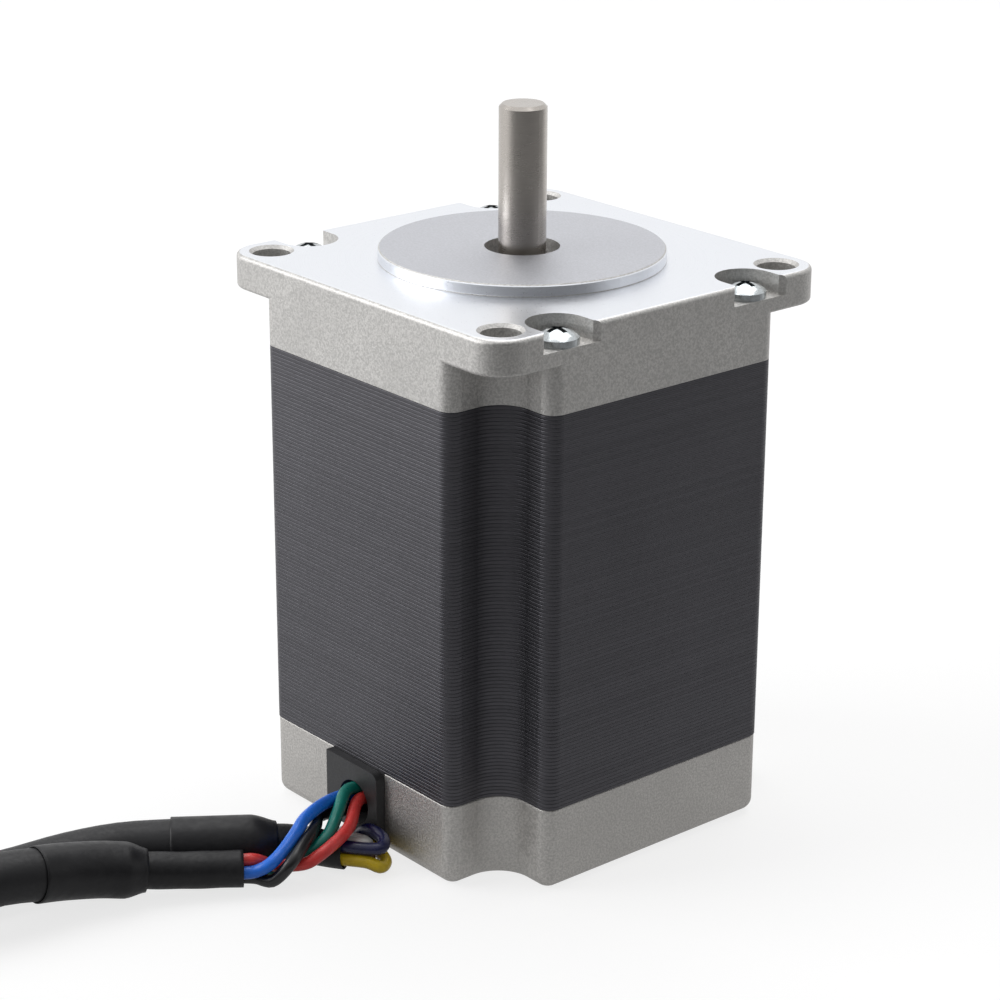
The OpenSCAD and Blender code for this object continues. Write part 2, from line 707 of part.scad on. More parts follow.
module lead_grommet() color([0.28, 0.28, 0.29]) {
  w = grommet_w - 2 * grommet_gap;
  h = rear_cap_h - lead_gap - grommet_gap;
  front = -half_w - grommet_proud;
  back = -grommet_back() - grommet_gap;
  difference() {
    union() {
      translate([0, -half_w + rear_inset - grommet_gap, floor_z + lead_gap]) rotate([90, 0, 0])
        linear_extrude(grommet_proud - rear_inset + grommet_gap) lead_slot_profile(w, h, grommet_top_r);
      translate([-w / 2, -half_w + rear_inset - grommet_gap, floor_z + lead_gap])
        cube([w, half_w - rear_inset + grommet_gap + back, h]);
      translate([-w / 2 - tongue_w, -half_w + tongue_inset, floor_z + lead_gap + grommet_gap])
        cube([w + 2 * tongue_w, tongue_t, h - grommet_gap]);
    }
    translate([grommet_hole_x, back + overrun, grommet_hole_z]) rotate([90, 0, 0])
      cylinder(r = grommet_hole_r, h = back + overrun - front + overrun);
  }
}

module lead_board() color([0.15, 0.4, 0.2]) translate([0, 0, board_z - board_t]) difference() {
  cylinder(r = board_r, h = board_t);
  translate([0, 0, -overrun]) cylinder(r = board_in_r, h = board_t + 2 * overrun);
}

// Leads: the hand-laid part of each route, then its place in the bundle inside the wire sleeve
function bundle(route, last, angle) = [
  for (i = [0:last])
    let (t = heading(route, i), s = -side(t), u = cross(t, s))
    route[i] + bundle_r * (cos(angle) * s + sin(angle) * u)
];
module lead(path, route, last, angle) {
  p = concat(path, bundle(route, last, angle));
  n = len(p) - 1;
  tube(concat(stations(p, 0, n - 1, lead_r), [[p[n], heading(route, last), lead_r]]), lead_sides);
}

blue_path = [
  [-2, -21.6, -69.7], [-1, -25.6, -70.2], [-0.6, -30.1, -69.3], [1.1, -34.8, -68.4], [2.8, -39.3, -68.6],
  [3.9, -41.4, -69.3], [5.1, -44.9, -70.9], [5.3, -47, -71.8], [4.2, -48.3, -72.7]
];
black_path = [
  [-4.4, -21.2, -69.7], [-3.4, -22.6, -71.8], [-0.6, -25.2, -71.8], [0.3, -30.2, -71], [0.6, -35.2, -70.3],
  [3.5, -38.2, -70], [6, -42.1, -70.5], [6.9, -44.6, -71.7], [5.5, -46.6, -74.1], [3.3, -47.6, -74.2]
];
green_path = [
  [0.6, -21.6, -69.7], [0.6, -24.6, -69.7], [0.6, -29.7, -67.9], [1.3, -31.5, -67.8], [3.6, -34.5, -69],
  [5.3, -37.6, -70.8], [5, -40.3, -72.2], [3.4, -43, -74.2], [2.6, -45, -74.6], [1.9, -46.9, -73.4]
];
red_path = [
  [3.2, -21.6, -69.7], [2.3, -25.6, -70], [2.1, -29.6, -69], [6, -34.4, -70], [6.9, -36.4, -70.5],
  [7.3, -40.4, -71.8], [6.7, -42.1, -72.6], [3.6, -45.2, -73], [3, -47.6, -71.7]
];
white_path = [
  [-1.15, -18.6, -69.7], [-1.15, -21.4, -72.2], [-1.15, -25, -75.1], [-1.1, -31.2, -75.1],
  [0.3, -32.6, -73.9], [3.05, -32.42, -73.36], [6, -31.9, -73.1], [7.1, -32.2, -73], [6.8, -32.9, -72.8]
];
brown_path = [
  [0.75, -18.6, -69.7], [0.75, -21.4, -72.2], [0.75, -25, -75.1], [1, -31.4, -75.1], [3.4, -32.3, -75.1],
  [6.5, -31.9, -75], [7.6, -32.4, -74.9], [6.9, -33.2, -74.7]
];
navy_path = [
  [2.65, -18.6, -69.7], [2.65, -21.4, -72.2], [2.65, -25, -75.1], [2.65, -29.9, -75.1], [3.2, -30.6, -73.6],
  [5.2, -30.6, -72], [8.8, -30.9, -72], [10, -32.2, -72.3], [8.9, -33.4, -72.5]
];
yellow_path = [
  [4.55, -18.6, -69.7], [4.55, -21.4, -72.2], [4.55, -25, -75.1], [4.55, -29.2, -75.1], [6.9, -29.9, -75.1],
  [9.3, -31, -75.1], [10.2, -32.6, -74.9], [9.1, -33.7, -74.3]
];

module lead_blue() color([0.16, 0.39, 0.86]) lead(blue_path, front_route, front_jacket_at, 0);
module lead_black() color([0.1, 0.1, 0.11]) lead(black_path, front_route, front_jacket_at, -90);
module lead_green() color([0.08, 0.45, 0.4]) lead(green_path, front_route, front_jacket_at, 180);
module lead_red() color([0.84, 0.2, 0.2]) lead(red_path, front_route, front_jacket_at, 90);
module lead_white() color([0.9, 0.9, 0.88]) lead(white_path, rear_route, rear_jacket_at, 145);
module lead_brown() color([0.4, 0.25, 0.15]) lead(brown_path, rear_route, rear_jacket_at, 235);
module lead_navy() color([0.12, 0.13, 0.45]) lead(navy_path, rear_route, rear_jacket_at, 55);
module lead_yellow() color([0.88, 0.75, 0.1]) lead(yellow_path, rear_route, rear_jacket_at, -35);

module wire_sleeve(route, last) color([0.17, 0.17, 0.18])
  pipe(stations(route, 0, last, sleeve_r), stations(route, 0, last, sleeve_bore_r), jacket_sides);

module shrink_sleeve(route, first, joint, last) color([0.13, 0.13, 0.14]) {
  shoulder = route[first] + shoulder_share * (route[joint] - route[first]);
  pipe(
    concat(
      stations(route, first, first, shrink_neck_r),
      [[shoulder, heading(route, joint), shrink_shoulder_r]],
      stations(route, joint, last, shrink_r)
    ),
    concat(
      stations(route, first, joint, shrink_bore_r),
      stations(route, joint, last, shrink_jacket_bore_r)
    ),
    jacket_sides
  );
}

// Place of a coil's middle line after an angle of winding towards the middle, at the height z
function coil_point(z, a) =
  let (p = polar(coil_r - coil_pitch * a / 360, coil_start + a)) [coil_c[0] + p[0], coil_c[1] + p[1], z];
function coil_heading(z, a) = unit(coil_point(z, a + 1) - coil_point(z, a - 1));
function coil_stations(z) = concat(
  [for (k = [0:loop_rings * coil_turns]) let (a = 360 * k / loop_rings)
    [coil_point(z, a), coil_heading(z, a), jacket_r]],
  [let (a = 360 * floor(loop_rings * coil_turns) / loop_rings, t = coil_heading(z, a))
    [coil_point(z, a) + tail_len * t, t, jacket_r]]
);
front_coil = coil_stations(front_coil_z);
rear_coil = coil_stations(rear_coil_z);

module cable_run(route, joint, coil) color([0.12, 0.12, 0.13]) {
  n = len(route) - 1;
  p = concat(route, [coil[0][0]]);
  tube(concat(stations(p, joint, n, jacket_r), [coil[0]]), jacket_sides);
}
module cable_coil(coil) color([0.12, 0.12, 0.13]) tube(coil, loop_sides);

// Smallest gap between two turns, measured on the ring centres
function coil_gap(st) = min([
  for (i = [0:len(st) - 1]) for (j = [i + loop_rings / 2:1:len(st) - 1]) norm(st[i][0] - st[j][0])
]) - 2 * jacket_r;
echo(front_coil_gap = coil_gap(front_coil), rear_coil_gap = coil_gap(rear_coil));

// Tie round both coils, at an angle of the winding where two turns of each lie side by side
module coil_tie(a) color([0.2, 0.2, 0.21]) {
  r = coil_r - coil_pitch * (a / 360 + 0.5);
  w = coil_pitch + 2 * (jacket_r + tie_side_gap);
  h = rear_coil_z - front_coil_z + 2 * jacket_r + tie_gap;
  z = (front_coil_z + rear_coil_z) / 2;
  translate([coil_c[0], coil_c[1], z]) rotate(coil_start + a) translate([r, 0, 0]) {
    rotate([90, 0, 0]) translate([0, 0, -tie_w / 2]) linear_extrude(tie_w) difference() {
      rounded_square(w + 2 * tie_t, h + 2 * tie_t, tie_t);
      square([w, h], center = true);
    }
    translate([-w / 2 - tie_t - tie_head[0] + tie_t / 2, -tie_head[1] / 2, -h / 2]) cube(tie_head);
  }
}

// Flying leads: arcs that leave the jacket's end in a square pattern, turn inwards and droop
module fan_of(coil, fan, tip) color(tip ? [0.8, 0.8, 0.8] : [0.5, 0.4, 0.3]) {
  e = coil[len(coil) - 1];
  o = bundle_r / sqrt(2);
  translate(e[0]) rotate(atan2(e[1][1], e[1][0])) for (f = fan) {
    swept = tip ? tip_len * 180 / PI / f[2] : f[4];
    first = tip ? f[4] : 0;
    translate([0, f[0] * o, f[1] * o]) rotate([0, f[3], 0]) translate([0, f[2], 0]) rotate(first - 90)
      rotate_extrude(angle = swept) translate([f[2], 0]) circle(tip ? tip_r : lead_r);
  }
}

front_cap();
rear_cap();
stator_stack();
front_insulator();
rear_insulator();
winding(0);  // winding_1
winding(1);  // winding_2
winding(2);  // winding_3
winding(3);  // winding_4
winding(4);  // winding_5
winding(5);  // winding_6
winding(6);  // winding_7
winding(7);  // winding_8
shaft();
rotor_cup_up(0);  // rotor_cup_1
rotor_cup_down(0);  // rotor_cup_2
rotor_cup_up(1);  // rotor_cup_3
rotor_cup_down(1);  // rotor_cup_4
magnet(0);  // magnet_1
magnet(1);  // magnet_2
rotor_spacer();
at_front_bearing() outer_ring();  // front_bearing_outer_ring
at_front_bearing() inner_ring();  // front_bearing_inner_ring
at_front_bearing() balls();  // front_bearing_balls
at_front_bearing() cage();  // front_bearing_cage
at_front_bearing() shields();  // front_bearing_shields
at_rear_bearing() outer_ring();  // rear_bearing_outer_ring
at_rear_bearing() inner_ring();  // rear_bearing_inner_ring
at_rear_bearing() balls();  // rear_bearing_balls
at_rear_bearing() cage();  // rear_bearing_cage
at_rear_bearing() shields();  // rear_bearing_shields
wave_washer();
through_screws();
lead_grommet();
lead_board();
lead_blue();
lead_black();
lead_green();
lead_red();
lead_yellow();
lead_navy();
lead_white();
lead_brown();
wire_sleeve(front_route, front_jacket_at);  // front_wire_sleeve
shrink_sleeve(front_route, front_shrink_at, front_jacket_at, front_shrink_end);  // front_shrink_sleeve
wire_sleeve(rear_route, rear_jacket_at);  // rear_wire_sleeve
shrink_sleeve(rear_route, rear_shrink_at, rear_jacket_at, rear_shrink_end);  // rear_shrink_sleeve
cable_run(front_route, front_jacket_at, front_coil);  // front_cable_run
cable_coil(front_coil);  // front_cable_coil
cable_run(rear_route, rear_jacket_at, rear_coil);  // rear_cable_run
cable_coil(rear_coil);  // rear_cable_coil
coil_tie(front_tie_angle);  // front_coil_tie
coil_tie(rear_tie_angle);  // rear_coil_tie
fan_of(front_coil, front_fan, false);  // front_flying_leads
fan_of(rear_coil, rear_fan, false);  // rear_flying_leads
fan_of(front_coil, front_fan, true);  // front_lead_tips
fan_of(rear_coil, rear_fan, true);  // rear_lead_tips
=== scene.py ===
"""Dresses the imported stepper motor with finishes, cables and leads, and sets a studio round it."""

import json
import logging
import math
from dataclasses import dataclass
from enum import Enum
from itertools import accumulate

import bpy
from mathutils import Matrix, Vector

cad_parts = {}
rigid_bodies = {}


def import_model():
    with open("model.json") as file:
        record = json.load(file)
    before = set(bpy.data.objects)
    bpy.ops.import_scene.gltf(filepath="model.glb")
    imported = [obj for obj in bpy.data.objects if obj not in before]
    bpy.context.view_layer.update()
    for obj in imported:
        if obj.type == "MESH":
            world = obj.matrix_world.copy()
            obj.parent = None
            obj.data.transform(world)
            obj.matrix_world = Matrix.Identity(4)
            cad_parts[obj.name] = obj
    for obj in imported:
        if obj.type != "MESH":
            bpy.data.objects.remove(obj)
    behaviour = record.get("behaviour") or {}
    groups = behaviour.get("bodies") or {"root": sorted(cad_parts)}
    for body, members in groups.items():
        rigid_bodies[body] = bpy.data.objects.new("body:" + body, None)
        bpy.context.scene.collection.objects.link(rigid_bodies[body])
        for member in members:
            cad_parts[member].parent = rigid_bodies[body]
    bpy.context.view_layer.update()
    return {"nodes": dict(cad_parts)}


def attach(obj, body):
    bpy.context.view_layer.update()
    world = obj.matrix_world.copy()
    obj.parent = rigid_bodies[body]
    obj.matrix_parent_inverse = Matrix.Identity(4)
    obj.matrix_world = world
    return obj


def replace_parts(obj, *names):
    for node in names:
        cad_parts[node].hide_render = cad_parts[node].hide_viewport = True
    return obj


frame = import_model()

MM = 0.001
LOG = logging.getLogger("stepper_motor")
FLOOR_Z = -76.0
JACKET_RADIUS = 3.4
TIE_THICKNESS = 0.5
TIE_GAP = 0.1
COIL_GAP = 0.2
FRONT_COIL_Z = FLOOR_Z + TIE_THICKNESS + TIE_GAP / 2.0 + JACKET_RADIUS
REAR_COIL_Z = FRONT_COIL_Z + 2.0 * JACKET_RADIUS + COIL_GAP
FLANGE_Z = 0.0
PILOT_RISE = 1.6
# Place along a short block, as a share of its length, and share of its rim's inset there
LOFT = ((-0.5, 1.0), (-0.42, 0.0), (0.42, 0.0), (0.5, 1.0))
Colour = tuple[float, float, float]
Place = tuple[float, float, float]
Socket = bpy.types.NodeSocket
WHITE = (1.0, 1.0, 1.0, 1.0)
UP = Vector((0.0, 0.0, 1.0))


class FarEnd(Enum):
    """What stands at the far end of a cord."""

    OBJECT = "object"
    BARE = "bare"


# Surface finishes


def dimmed(colour: Colour, share: float) -> Colour:
    """Return a colour at a share of its level, at most white."""
    return tuple(min(1.0, share * c) for c in colour)


class Nodes:
    """Writes the nodes of one material or world."""

    def __init__(self, owner: bpy.types.Material | bpy.types.World) -> None:
        """Start with no nodes.

        Args:
            owner: The material or the world.
        """
        owner.use_nodes = True
        self.owner = owner
        self.tree = owner.node_tree
        self.tree.nodes.clear()

    def add(self, kind: str, *inputs: object, **values: object) -> bpy.types.Node:
        """Add a node and fill its first sockets.

        Args:
            kind: The node's type name.
            inputs: A number, a colour or another node's output for each of its first sockets.
            values: Properties to set on it.

        Returns:
            The new node.
        """
        node = self.tree.nodes.new(kind)
        for key, value in values.items():
            setattr(node, key, value)
        for socket, value in zip(node.inputs, inputs):
            self.feed(socket, value)
        return node

    def feed(self, socket: Socket, value: object) -> None:
        """Give a socket a value.

        Args:
            socket: The socket.
            value: A number, a colour or another node's output.
        """
        if isinstance(value, Socket):
            self.tree.links.new(value, socket)
        elif isinstance(value, tuple) and len(value) == 3 and socket.type == "RGBA":
            socket.default_value = (*value, 1.0)
        else:
            socket.default_value = value


class Sketch(Nodes):
    """Writes the nodes of one finish, in the object's own coordinates in millimetres."""

    def __init__(self, name: str) -> None:
        """Start a material with one shader.

        Args:
            name: The material's name.
        """
        super().__init__(bpy.data.materials.new(name))
        output = self.add("ShaderNodeOutputMaterial")
        self.shader = self.add("ShaderNodeBsdfPrincipled")
        self.feed(output.inputs["Surface"], self.shader.outputs["BSDF"])
        scaled = self.add("ShaderNodeVectorMath", operation="SCALE")
        self.feed(scaled.inputs[0], self.add("ShaderNodeTexCoord").outputs["Object"])
        self.feed(scaled.inputs["Scale"], 1.0 / MM)
        self.place = scaled.outputs[0]

    def sum(self, operation: str, *values: object) -> Socket:
        """Return the result of arithmetic on numbers or sockets."""
        return self.add("ShaderNodeMath", *values, operation=operation).outputs[0]

    def axes(self, source: Socket | None = None) -> list[Socket]:
        """Return the three parts of a vector, which is the place where none is given."""
        return list(self.add("ShaderNodeSeparateXYZ", source or self.place).outputs)

    def radius(self) -> Socket:
        """Return the distance from the object's vertical axis."""
        x, y, _ = self.axes()
        return self.sum("SQRT", self.sum("ADD", self.sum("POWER", x, 2.0), self.sum("POWER", y, 2.0)))

    def stretched(self, x: float, y: float, z: float) -> Socket:
        """Return the place, with each axis multiplied by its own number."""
        return self.add("ShaderNodeVectorMath", self.place, (x, y, z), operation="MULTIPLY").outputs[0]

    def noise(self, per_mm: float, detail: float = 2.0, place: Socket | None = None,
              roughness: float = 0.5) -> Socket:
        """Return a noise value from 0 to 1.

        Args:
            per_mm: Grains in a millimetre.
            detail: Octaves of finer noise.
            place: Coordinates to use in place of the usual ones.
            roughness: Share of the finer octaves.

        Returns:
            The noise's socket.
        """
        node = self.add("ShaderNodeTexNoise", place or self.place)
        for socket, value in (("Scale", per_mm), ("Detail", detail), ("Roughness", roughness)):
            self.feed(node.inputs[socket], value)
        return node.outputs[0]

    def remap(self, value: Socket, low: float, high: float, to_low: float = 0.0,
              to_high: float = 1.0) -> Socket:
        """Map a range onto another, clamped and smooth at its ends."""
        return self.add("ShaderNodeMapRange", value, low, high, to_low, to_high,
                        interpolation_type="SMOOTHSTEP").outputs[0]

    def blend(self, share: object, first: object, second: object) -> Socket:
        """Mix two colours.

        Args:
            share: Share of the second colour, from 0 to 1.
            first: A colour or a socket.
            second: A colour or a socket.

        Returns:
            The mixed colour's socket.
        """
        node = self.add("ShaderNodeMix", share, data_type="RGBA")
        self.feed(node.inputs[6], first)
        self.feed(node.inputs[7], second)
        return node.outputs[2]

    def bump(self, height: Socket, depth_mm: float, strength: float = 1.0,
             under: Socket | None = None) -> Socket:
        """Return a normal that a height field bends.

        Args:
            height: The height, from 0 to 1.
            depth_mm: Depth of the whole range.
            strength: Strength of the effect.
            under: A normal that this one adds to.

        Returns:
            The normal's socket.
        """
        node = self.add("ShaderNodeBump", strength, depth_mm * MM)
        self.feed(node.inputs["Height"], height)
        if under:
            self.feed(node.inputs["Normal"], under)
        return node.outputs[0]

    def shade(self, **values: object) -> bpy.types.Material:
        """Set the shader's sockets and return the material.

        Args:
            values: Socket names in lower case with underscores, each with a number, colour or socket.

        Returns:
            The finished material.
        """
        names = {socket.name.lower().replace(" ", "_"): socket for socket in self.shader.inputs}
        for key, value in values.items():
            self.feed(names[key], value)
        return self.owner


@dataclass(frozen=True)
class Finish:
    """A finish with the name of its material and the material slot that it stands for."""

    name: str
    slot: str
    colour: Colour

    def paint(self, sketch: Sketch) -> bpy.types.Material:
        """Write the finish's nodes.

        Args:
            sketch: The writer for its material.

        Returns:
            The material.
        """
        raise NotImplementedError

    def material(self) -> bpy.types.Material:
        """Return the finish's material, made on its first use."""
        return bpy.data.materials.get(self.name) or self.paint(Sketch(self.name))


@dataclass(frozen=True)
class CastAluminium(Finish):
    """Die-cast aluminium with a blasted skin, and a face and a round wall that are turned bright."""

    face_level: float = 100.0
    satin_level: float = 100.0
    face_reach: float = 0.35
    wall_radius: float = 19.05
    wall_reach: float = 0.12
    wall_middle: float = 1.0
    wall_half: float = 0.9
    grain_per_mm: float = 3.6
    grain_depth: float = 0.08
    rings_per_mm: float = 9.0
    satin_colour: Colour = (0.40, 0.405, 0.43)
    turned_colour: Colour = (0.79, 0.81, 0.85)

    def paint(self, sketch: Sketch) -> bpy.types.Material:
        """Write a grainy cast skin with bright milled faces.

        Args:
            sketch: The writer for its material.

        Returns:
            The material.
        """
        grain = sketch.noise(self.grain_per_mm, 3.0, roughness=0.65)
        stain = sketch.noise(0.12, 3.0)
        skin = sketch.blend(sketch.remap(grain, 0.36, 0.64), dimmed(self.colour, 0.74),
                            dimmed(self.colour, 1.03))
        skin = sketch.blend(sketch.remap(stain, 0.42, 0.68, 0.0, 0.22), skin, dimmed(self.colour, 0.72))
        z = sketch.axes()[2]
        facing = sketch.axes(sketch.add("ShaderNodeNewGeometry").outputs["Normal"])[2]
        radius = sketch.radius()
        upward = sketch.remap(facing, 0.9, 0.97)
        face, satin = (sketch.sum("MULTIPLY", sketch.sum("COMPARE", z, level, self.face_reach), upward)
                       for level in (self.face_level, self.satin_level))
        wall = sketch.sum("MULTIPLY", sketch.sum("COMPARE", radius, self.wall_radius, self.wall_reach),
                          sketch.sum("COMPARE", z, self.face_level + self.wall_middle, self.wall_half))
        milled = sketch.sum("MAXIMUM", face, wall)
        # rings, since this noise's place only has the distance from the shaft's axis
        turned = sketch.noise(self.rings_per_mm, 2.0, sketch.add("ShaderNodeCombineXYZ", radius).outputs[0])
        bright = sketch.blend(sketch.remap(turned, 0.35, 0.7), self.turned_colour,
                              dimmed(self.turned_colour, 0.93))
        skin = sketch.blend(satin, skin, sketch.blend(sketch.remap(grain, 0.36, 0.64), self.satin_colour,
                                                      dimmed(self.satin_colour, 1.18)))
        plain = sketch.sum("SUBTRACT", 1.0, sketch.sum("MAXIMUM", milled, sketch.sum("MULTIPLY", satin, 0.6)))
        rough = sketch.sum("ADD", sketch.sum("MULTIPLY", milled, -0.2),
                           sketch.remap(grain, 0.3, 0.7, 0.47, 0.58))
        skin_normal = sketch.bump(sketch.sum("MULTIPLY", grain, plain), self.grain_depth, 0.55)
        normal = sketch.bump(sketch.sum("MULTIPLY", turned, milled), 0.004, 0.6, under=skin_normal)
        return sketch.shade(base_color=sketch.blend(milled, skin, bright), metallic=1.0, roughness=rough,
                            normal=normal)


@dataclass(frozen=True)
class LaminatedSteel(Finish):
    """A stack of thin steel sheets, with a dark finish on its outside."""

    sheet: float = 0.5
    spread: float = 0.35

    def paint(self, sketch: Sketch) -> bpy.types.Material:
        """Write a shade and a groove for each sheet.

        Args:
            sketch: The writer for its material.

        Returns:
            The material.
        """
        z = sketch.axes()[2]
        level = sketch.sum("DIVIDE", z, self.sheet)
        shade = sketch.add("ShaderNodeTexWhiteNoise", noise_dimensions="1D")
        sketch.feed(shade.inputs["W"], sketch.sum("FLOOR", level))
        groove = sketch.sum("PINGPONG", level, 0.5)
        edge = sketch.remap(groove, 0.0, 0.22)
        haze = sketch.noise(0.07, 3.0, place=sketch.stretched(1.0, 1.0, 0.35))
        dark = dimmed(self.colour, 1.0 - self.spread)
        tone = sketch.blend(shade.outputs["Value"], dark, self.colour)
        tone = sketch.blend(sketch.remap(edge, 0.0, 1.0, 0.5, 0.0), tone, (0.010, 0.010, 0.013))
        tone = sketch.blend(sketch.remap(haze, 0.4, 0.7, 0.0, 0.08), tone, dimmed(self.colour, 1.5))
        grain = sketch.noise(1.1, 2.0, place=sketch.stretched(1.0, 1.0, 3.0))
        normal = sketch.bump(grain, 0.03, 0.35, under=sketch.bump(edge, 0.05, 0.8))
        rough = sketch.remap(grain, 0.3, 0.7, 0.38, 0.48)
        return sketch.shade(base_color=tone, metallic=0.85, roughness=rough, normal=normal)


@dataclass(frozen=True)
class TurnedSteel(Finish):
    """Steel ground or turned round the shaft's axis."""

    roughness: float = 0.24
    lines: float = 7.0
    depth: float = 0.004

    def paint(self, sketch: Sketch) -> bpy.types.Material:
        """Write fine rings round the axis.

        Args:
            sketch: The writer for its material.

        Returns:
            The material.
        """
        rings = sketch.noise(self.lines, 3.0, place=sketch.stretched(0.05, 0.05, 1.0))
        cloud = sketch.noise(0.3, 2.0)
        tone = sketch.blend(sketch.remap(rings, 0.35, 0.7), self.colour, dimmed(self.colour, 0.95))
        rough = sketch.sum("ADD", sketch.remap(rings, 0.3, 0.7, -0.015, 0.015),
                           sketch.remap(cloud, 0.3, 0.7, self.roughness - 0.03, self.roughness + 0.05))
        return sketch.shade(base_color=tone, metallic=1.0, roughness=rough,
                            normal=sketch.bump(rings, self.depth, 0.5))


@dataclass(frozen=True)
class Plated(Finish):
    """Bright plated or polished steel with faint marks of handling."""

    roughness: float = 0.16

    def paint(self, sketch: Sketch) -> bpy.types.Material:
        """Write a bright metal with soft marks.

        Args:
            sketch: The writer for its material.

        Returns:
            The material.
        """
        marks = sketch.noise(2.4, 3.0)
        tone = sketch.blend(sketch.remap(marks, 0.4, 0.7), self.colour, dimmed(self.colour, 0.84))
        rough = sketch.remap(marks, 0.3, 0.75, self.roughness, self.roughness + 0.12)
        return sketch.shade(base_color=tone, metallic=1.0, roughness=rough,
                            normal=sketch.bump(marks, 0.01, 0.3))


@dataclass(frozen=True)
class Moulded(Finish):
    """Moulded plastic, or a sintered or coated part, with a fine grain."""

    roughness: float = 0.5
    grain_per_mm: float = 5.0
    depth: float = 0.02
    gloss: float = 0.5

    def paint(self, sketch: Sketch) -> bpy.types.Material:
        """Write a grained plastic with a soft change of tone.

        Args:
            sketch: The writer for its material.

        Returns:
            The material.
        """
        grain = sketch.noise(self.grain_per_mm, 3.0)
        cloud = sketch.noise(0.25, 2.0)
        tone = sketch.blend(sketch.remap(cloud, 0.35, 0.7), self.colour, dimmed(self.colour, 0.82))
        tone = sketch.blend(sketch.remap(grain, 0.5, 0.8, 0.0, 0.3), tone, dimmed(self.colour, 1.35))
        rough = sketch.remap(grain, 0.3, 0.7, self.roughness - 0.05, self.roughness + 0.07)
        return sketch.shade(base_color=tone, roughness=rough, specular_ior_level=self.gloss,
                            normal=sketch.bump(grain, self.depth, 0.5))


@dataclass(frozen=True)
class Insulation(Finish):
    """Smooth insulation drawn over stranded wire."""

    roughness: float = 0.3

    def paint(self, sketch: Sketch) -> bpy.types.Material:
        """Write a glossy skin with faint waves from the strands below it.

        Args:
            sketch: The writer for its material.

        Returns:
            The material.
        """
        waves = sketch.noise(0.8, 2.0)
        tone = sketch.blend(sketch.remap(waves, 0.35, 0.7), self.colour, dimmed(self.colour, 0.85))
        rough = sketch.remap(waves, 0.3, 0.7, self.roughness - 0.04, self.roughness + 0.08)
        return sketch.shade(base_color=tone, roughness=rough, normal=sketch.bump(waves, 0.06, 0.4))


@dataclass(frozen=True)
class WoundCopper(Finish):
    """Enamelled copper wire wound in close turns."""

    wires_per_mm: float = 1.6

    def paint(self, sketch: Sketch) -> bpy.types.Material:
        """Write close wires along the coil's long sides, with painted shade in the grooves between the turns.

        Args:
            sketch: The writer for its material.

        Returns:
            The material.
        """
        wire = sketch.sum("PINGPONG", sketch.sum("MULTIPLY", sketch.radius(), self.wires_per_mm), 0.5)
        cloud = sketch.noise(0.6, 2.0, place=sketch.stretched(1.0, 1.0, 0.2))
        # painted shade: the copper is darkened in the grooves between the turns, where shade falls
        tone = sketch.blend(sketch.remap(wire, 0.0, 0.35), dimmed(self.colour, 0.4), self.colour)
        tone = sketch.blend(sketch.remap(cloud, 0.4, 0.7, 0.0, 0.3), tone, dimmed(self.colour, 0.7))
        return sketch.shade(base_color=tone, metallic=0.85, roughness=0.32,
                            normal=sketch.bump(wire, 0.25, 0.8))


@dataclass(frozen=True)
class SolderMask(Finish):
    """A circuit board's green mask, with copper tracks showing through it."""

    track_per_mm: float = 0.28

    def paint(self, sketch: Sketch) -> bpy.types.Material:
        """Write tracks under a green mask.

        Args:
            sketch: The writer for its material.

        Returns:
            The material.
        """
        cells = sketch.add("ShaderNodeTexVoronoi", sketch.place, distance="MANHATTAN",
                           feature="DISTANCE_TO_EDGE")
        sketch.feed(cells.inputs["Scale"], self.track_per_mm)
        track = sketch.remap(cells.outputs["Distance"], 0.06, 0.1)
        tone = sketch.blend(track, dimmed(self.colour, 1.8), self.colour)
        return sketch.shade(base_color=tone, roughness=0.35, normal=sketch.bump(track, 0.03, 0.4))


CAST = CastAluminium("cast_aluminium_flange", "cast_aluminium", (0.60, 0.59, 0.575), face_level=FLANGE_Z,
                     satin_level=FLANGE_Z + PILOT_RISE)
CAST_REAR = CastAluminium("cast_aluminium_rear", "cast_aluminium", (0.60, 0.585, 0.565))
SPACER = TurnedSteel("spacer_aluminium", "cast_aluminium", (0.72, 0.72, 0.73))
STATOR = LaminatedSteel("stator_sheets", "stator_steel", (0.098, 0.096, 0.107), spread=0.12)
CUP = LaminatedSteel("rotor_sheets", "rotor_steel", (0.42, 0.42, 0.43), spread=0.2)
SHAFT = TurnedSteel("ground_shaft", "shaft_steel", (0.46, 0.43, 0.40), roughness=0.27, depth=0.001)
BALL = Plated("polished_ball", "bearing_steel", (0.82, 0.82, 0.84), roughness=0.07)
RACE = TurnedSteel("ground_race", "bearing_steel", (0.70, 0.70, 0.72), roughness=0.18)
CAGE = Plated("pressed_brass", "cage_brass", (0.66, 0.52, 0.26), roughness=0.3)
SPRING = Plated("rolled_spring_steel", "spring_steel", (0.52, 0.52, 0.55), roughness=0.28)
ZINC = Plated("zinc_screw", "screw_zinc", (0.50, 0.53, 0.545), roughness=0.14)
MAGNET = Moulded("sintered_magnet", "magnet_black", (0.07, 0.07, 0.075), roughness=0.45)
CREAM = Moulded("cream_insulator", "insulator_plastic", (0.72, 0.69, 0.60))
GROMMET = Moulded("black_grommet", "grommet_black", (0.035, 0.035, 0.037), roughness=0.48, grain_per_mm=3.0)
COPPER = WoundCopper("wound_copper", "copper_wire", (0.60, 0.24, 0.10))
BOARD = SolderMask("board_mask", "board_green", (0.02, 0.14, 0.06))
JACKET = Moulded("cable_jacket", "jacket_black", (0.016, 0.016, 0.018), grain_per_mm=2.2, depth=0.04,
                 gloss=0.35)
SHRINK = Moulded("shrink_tube", "shrink_black", (0.015, 0.015, 0.017), roughness=0.42,
                 grain_per_mm=0.9, depth=0.12, gloss=0.3)
WRAP = Moulded("wire_sleeve", "shrink_black", (0.014, 0.014, 0.016), roughness=0.45,
               grain_per_mm=1.4, depth=0.10, gloss=0.3)
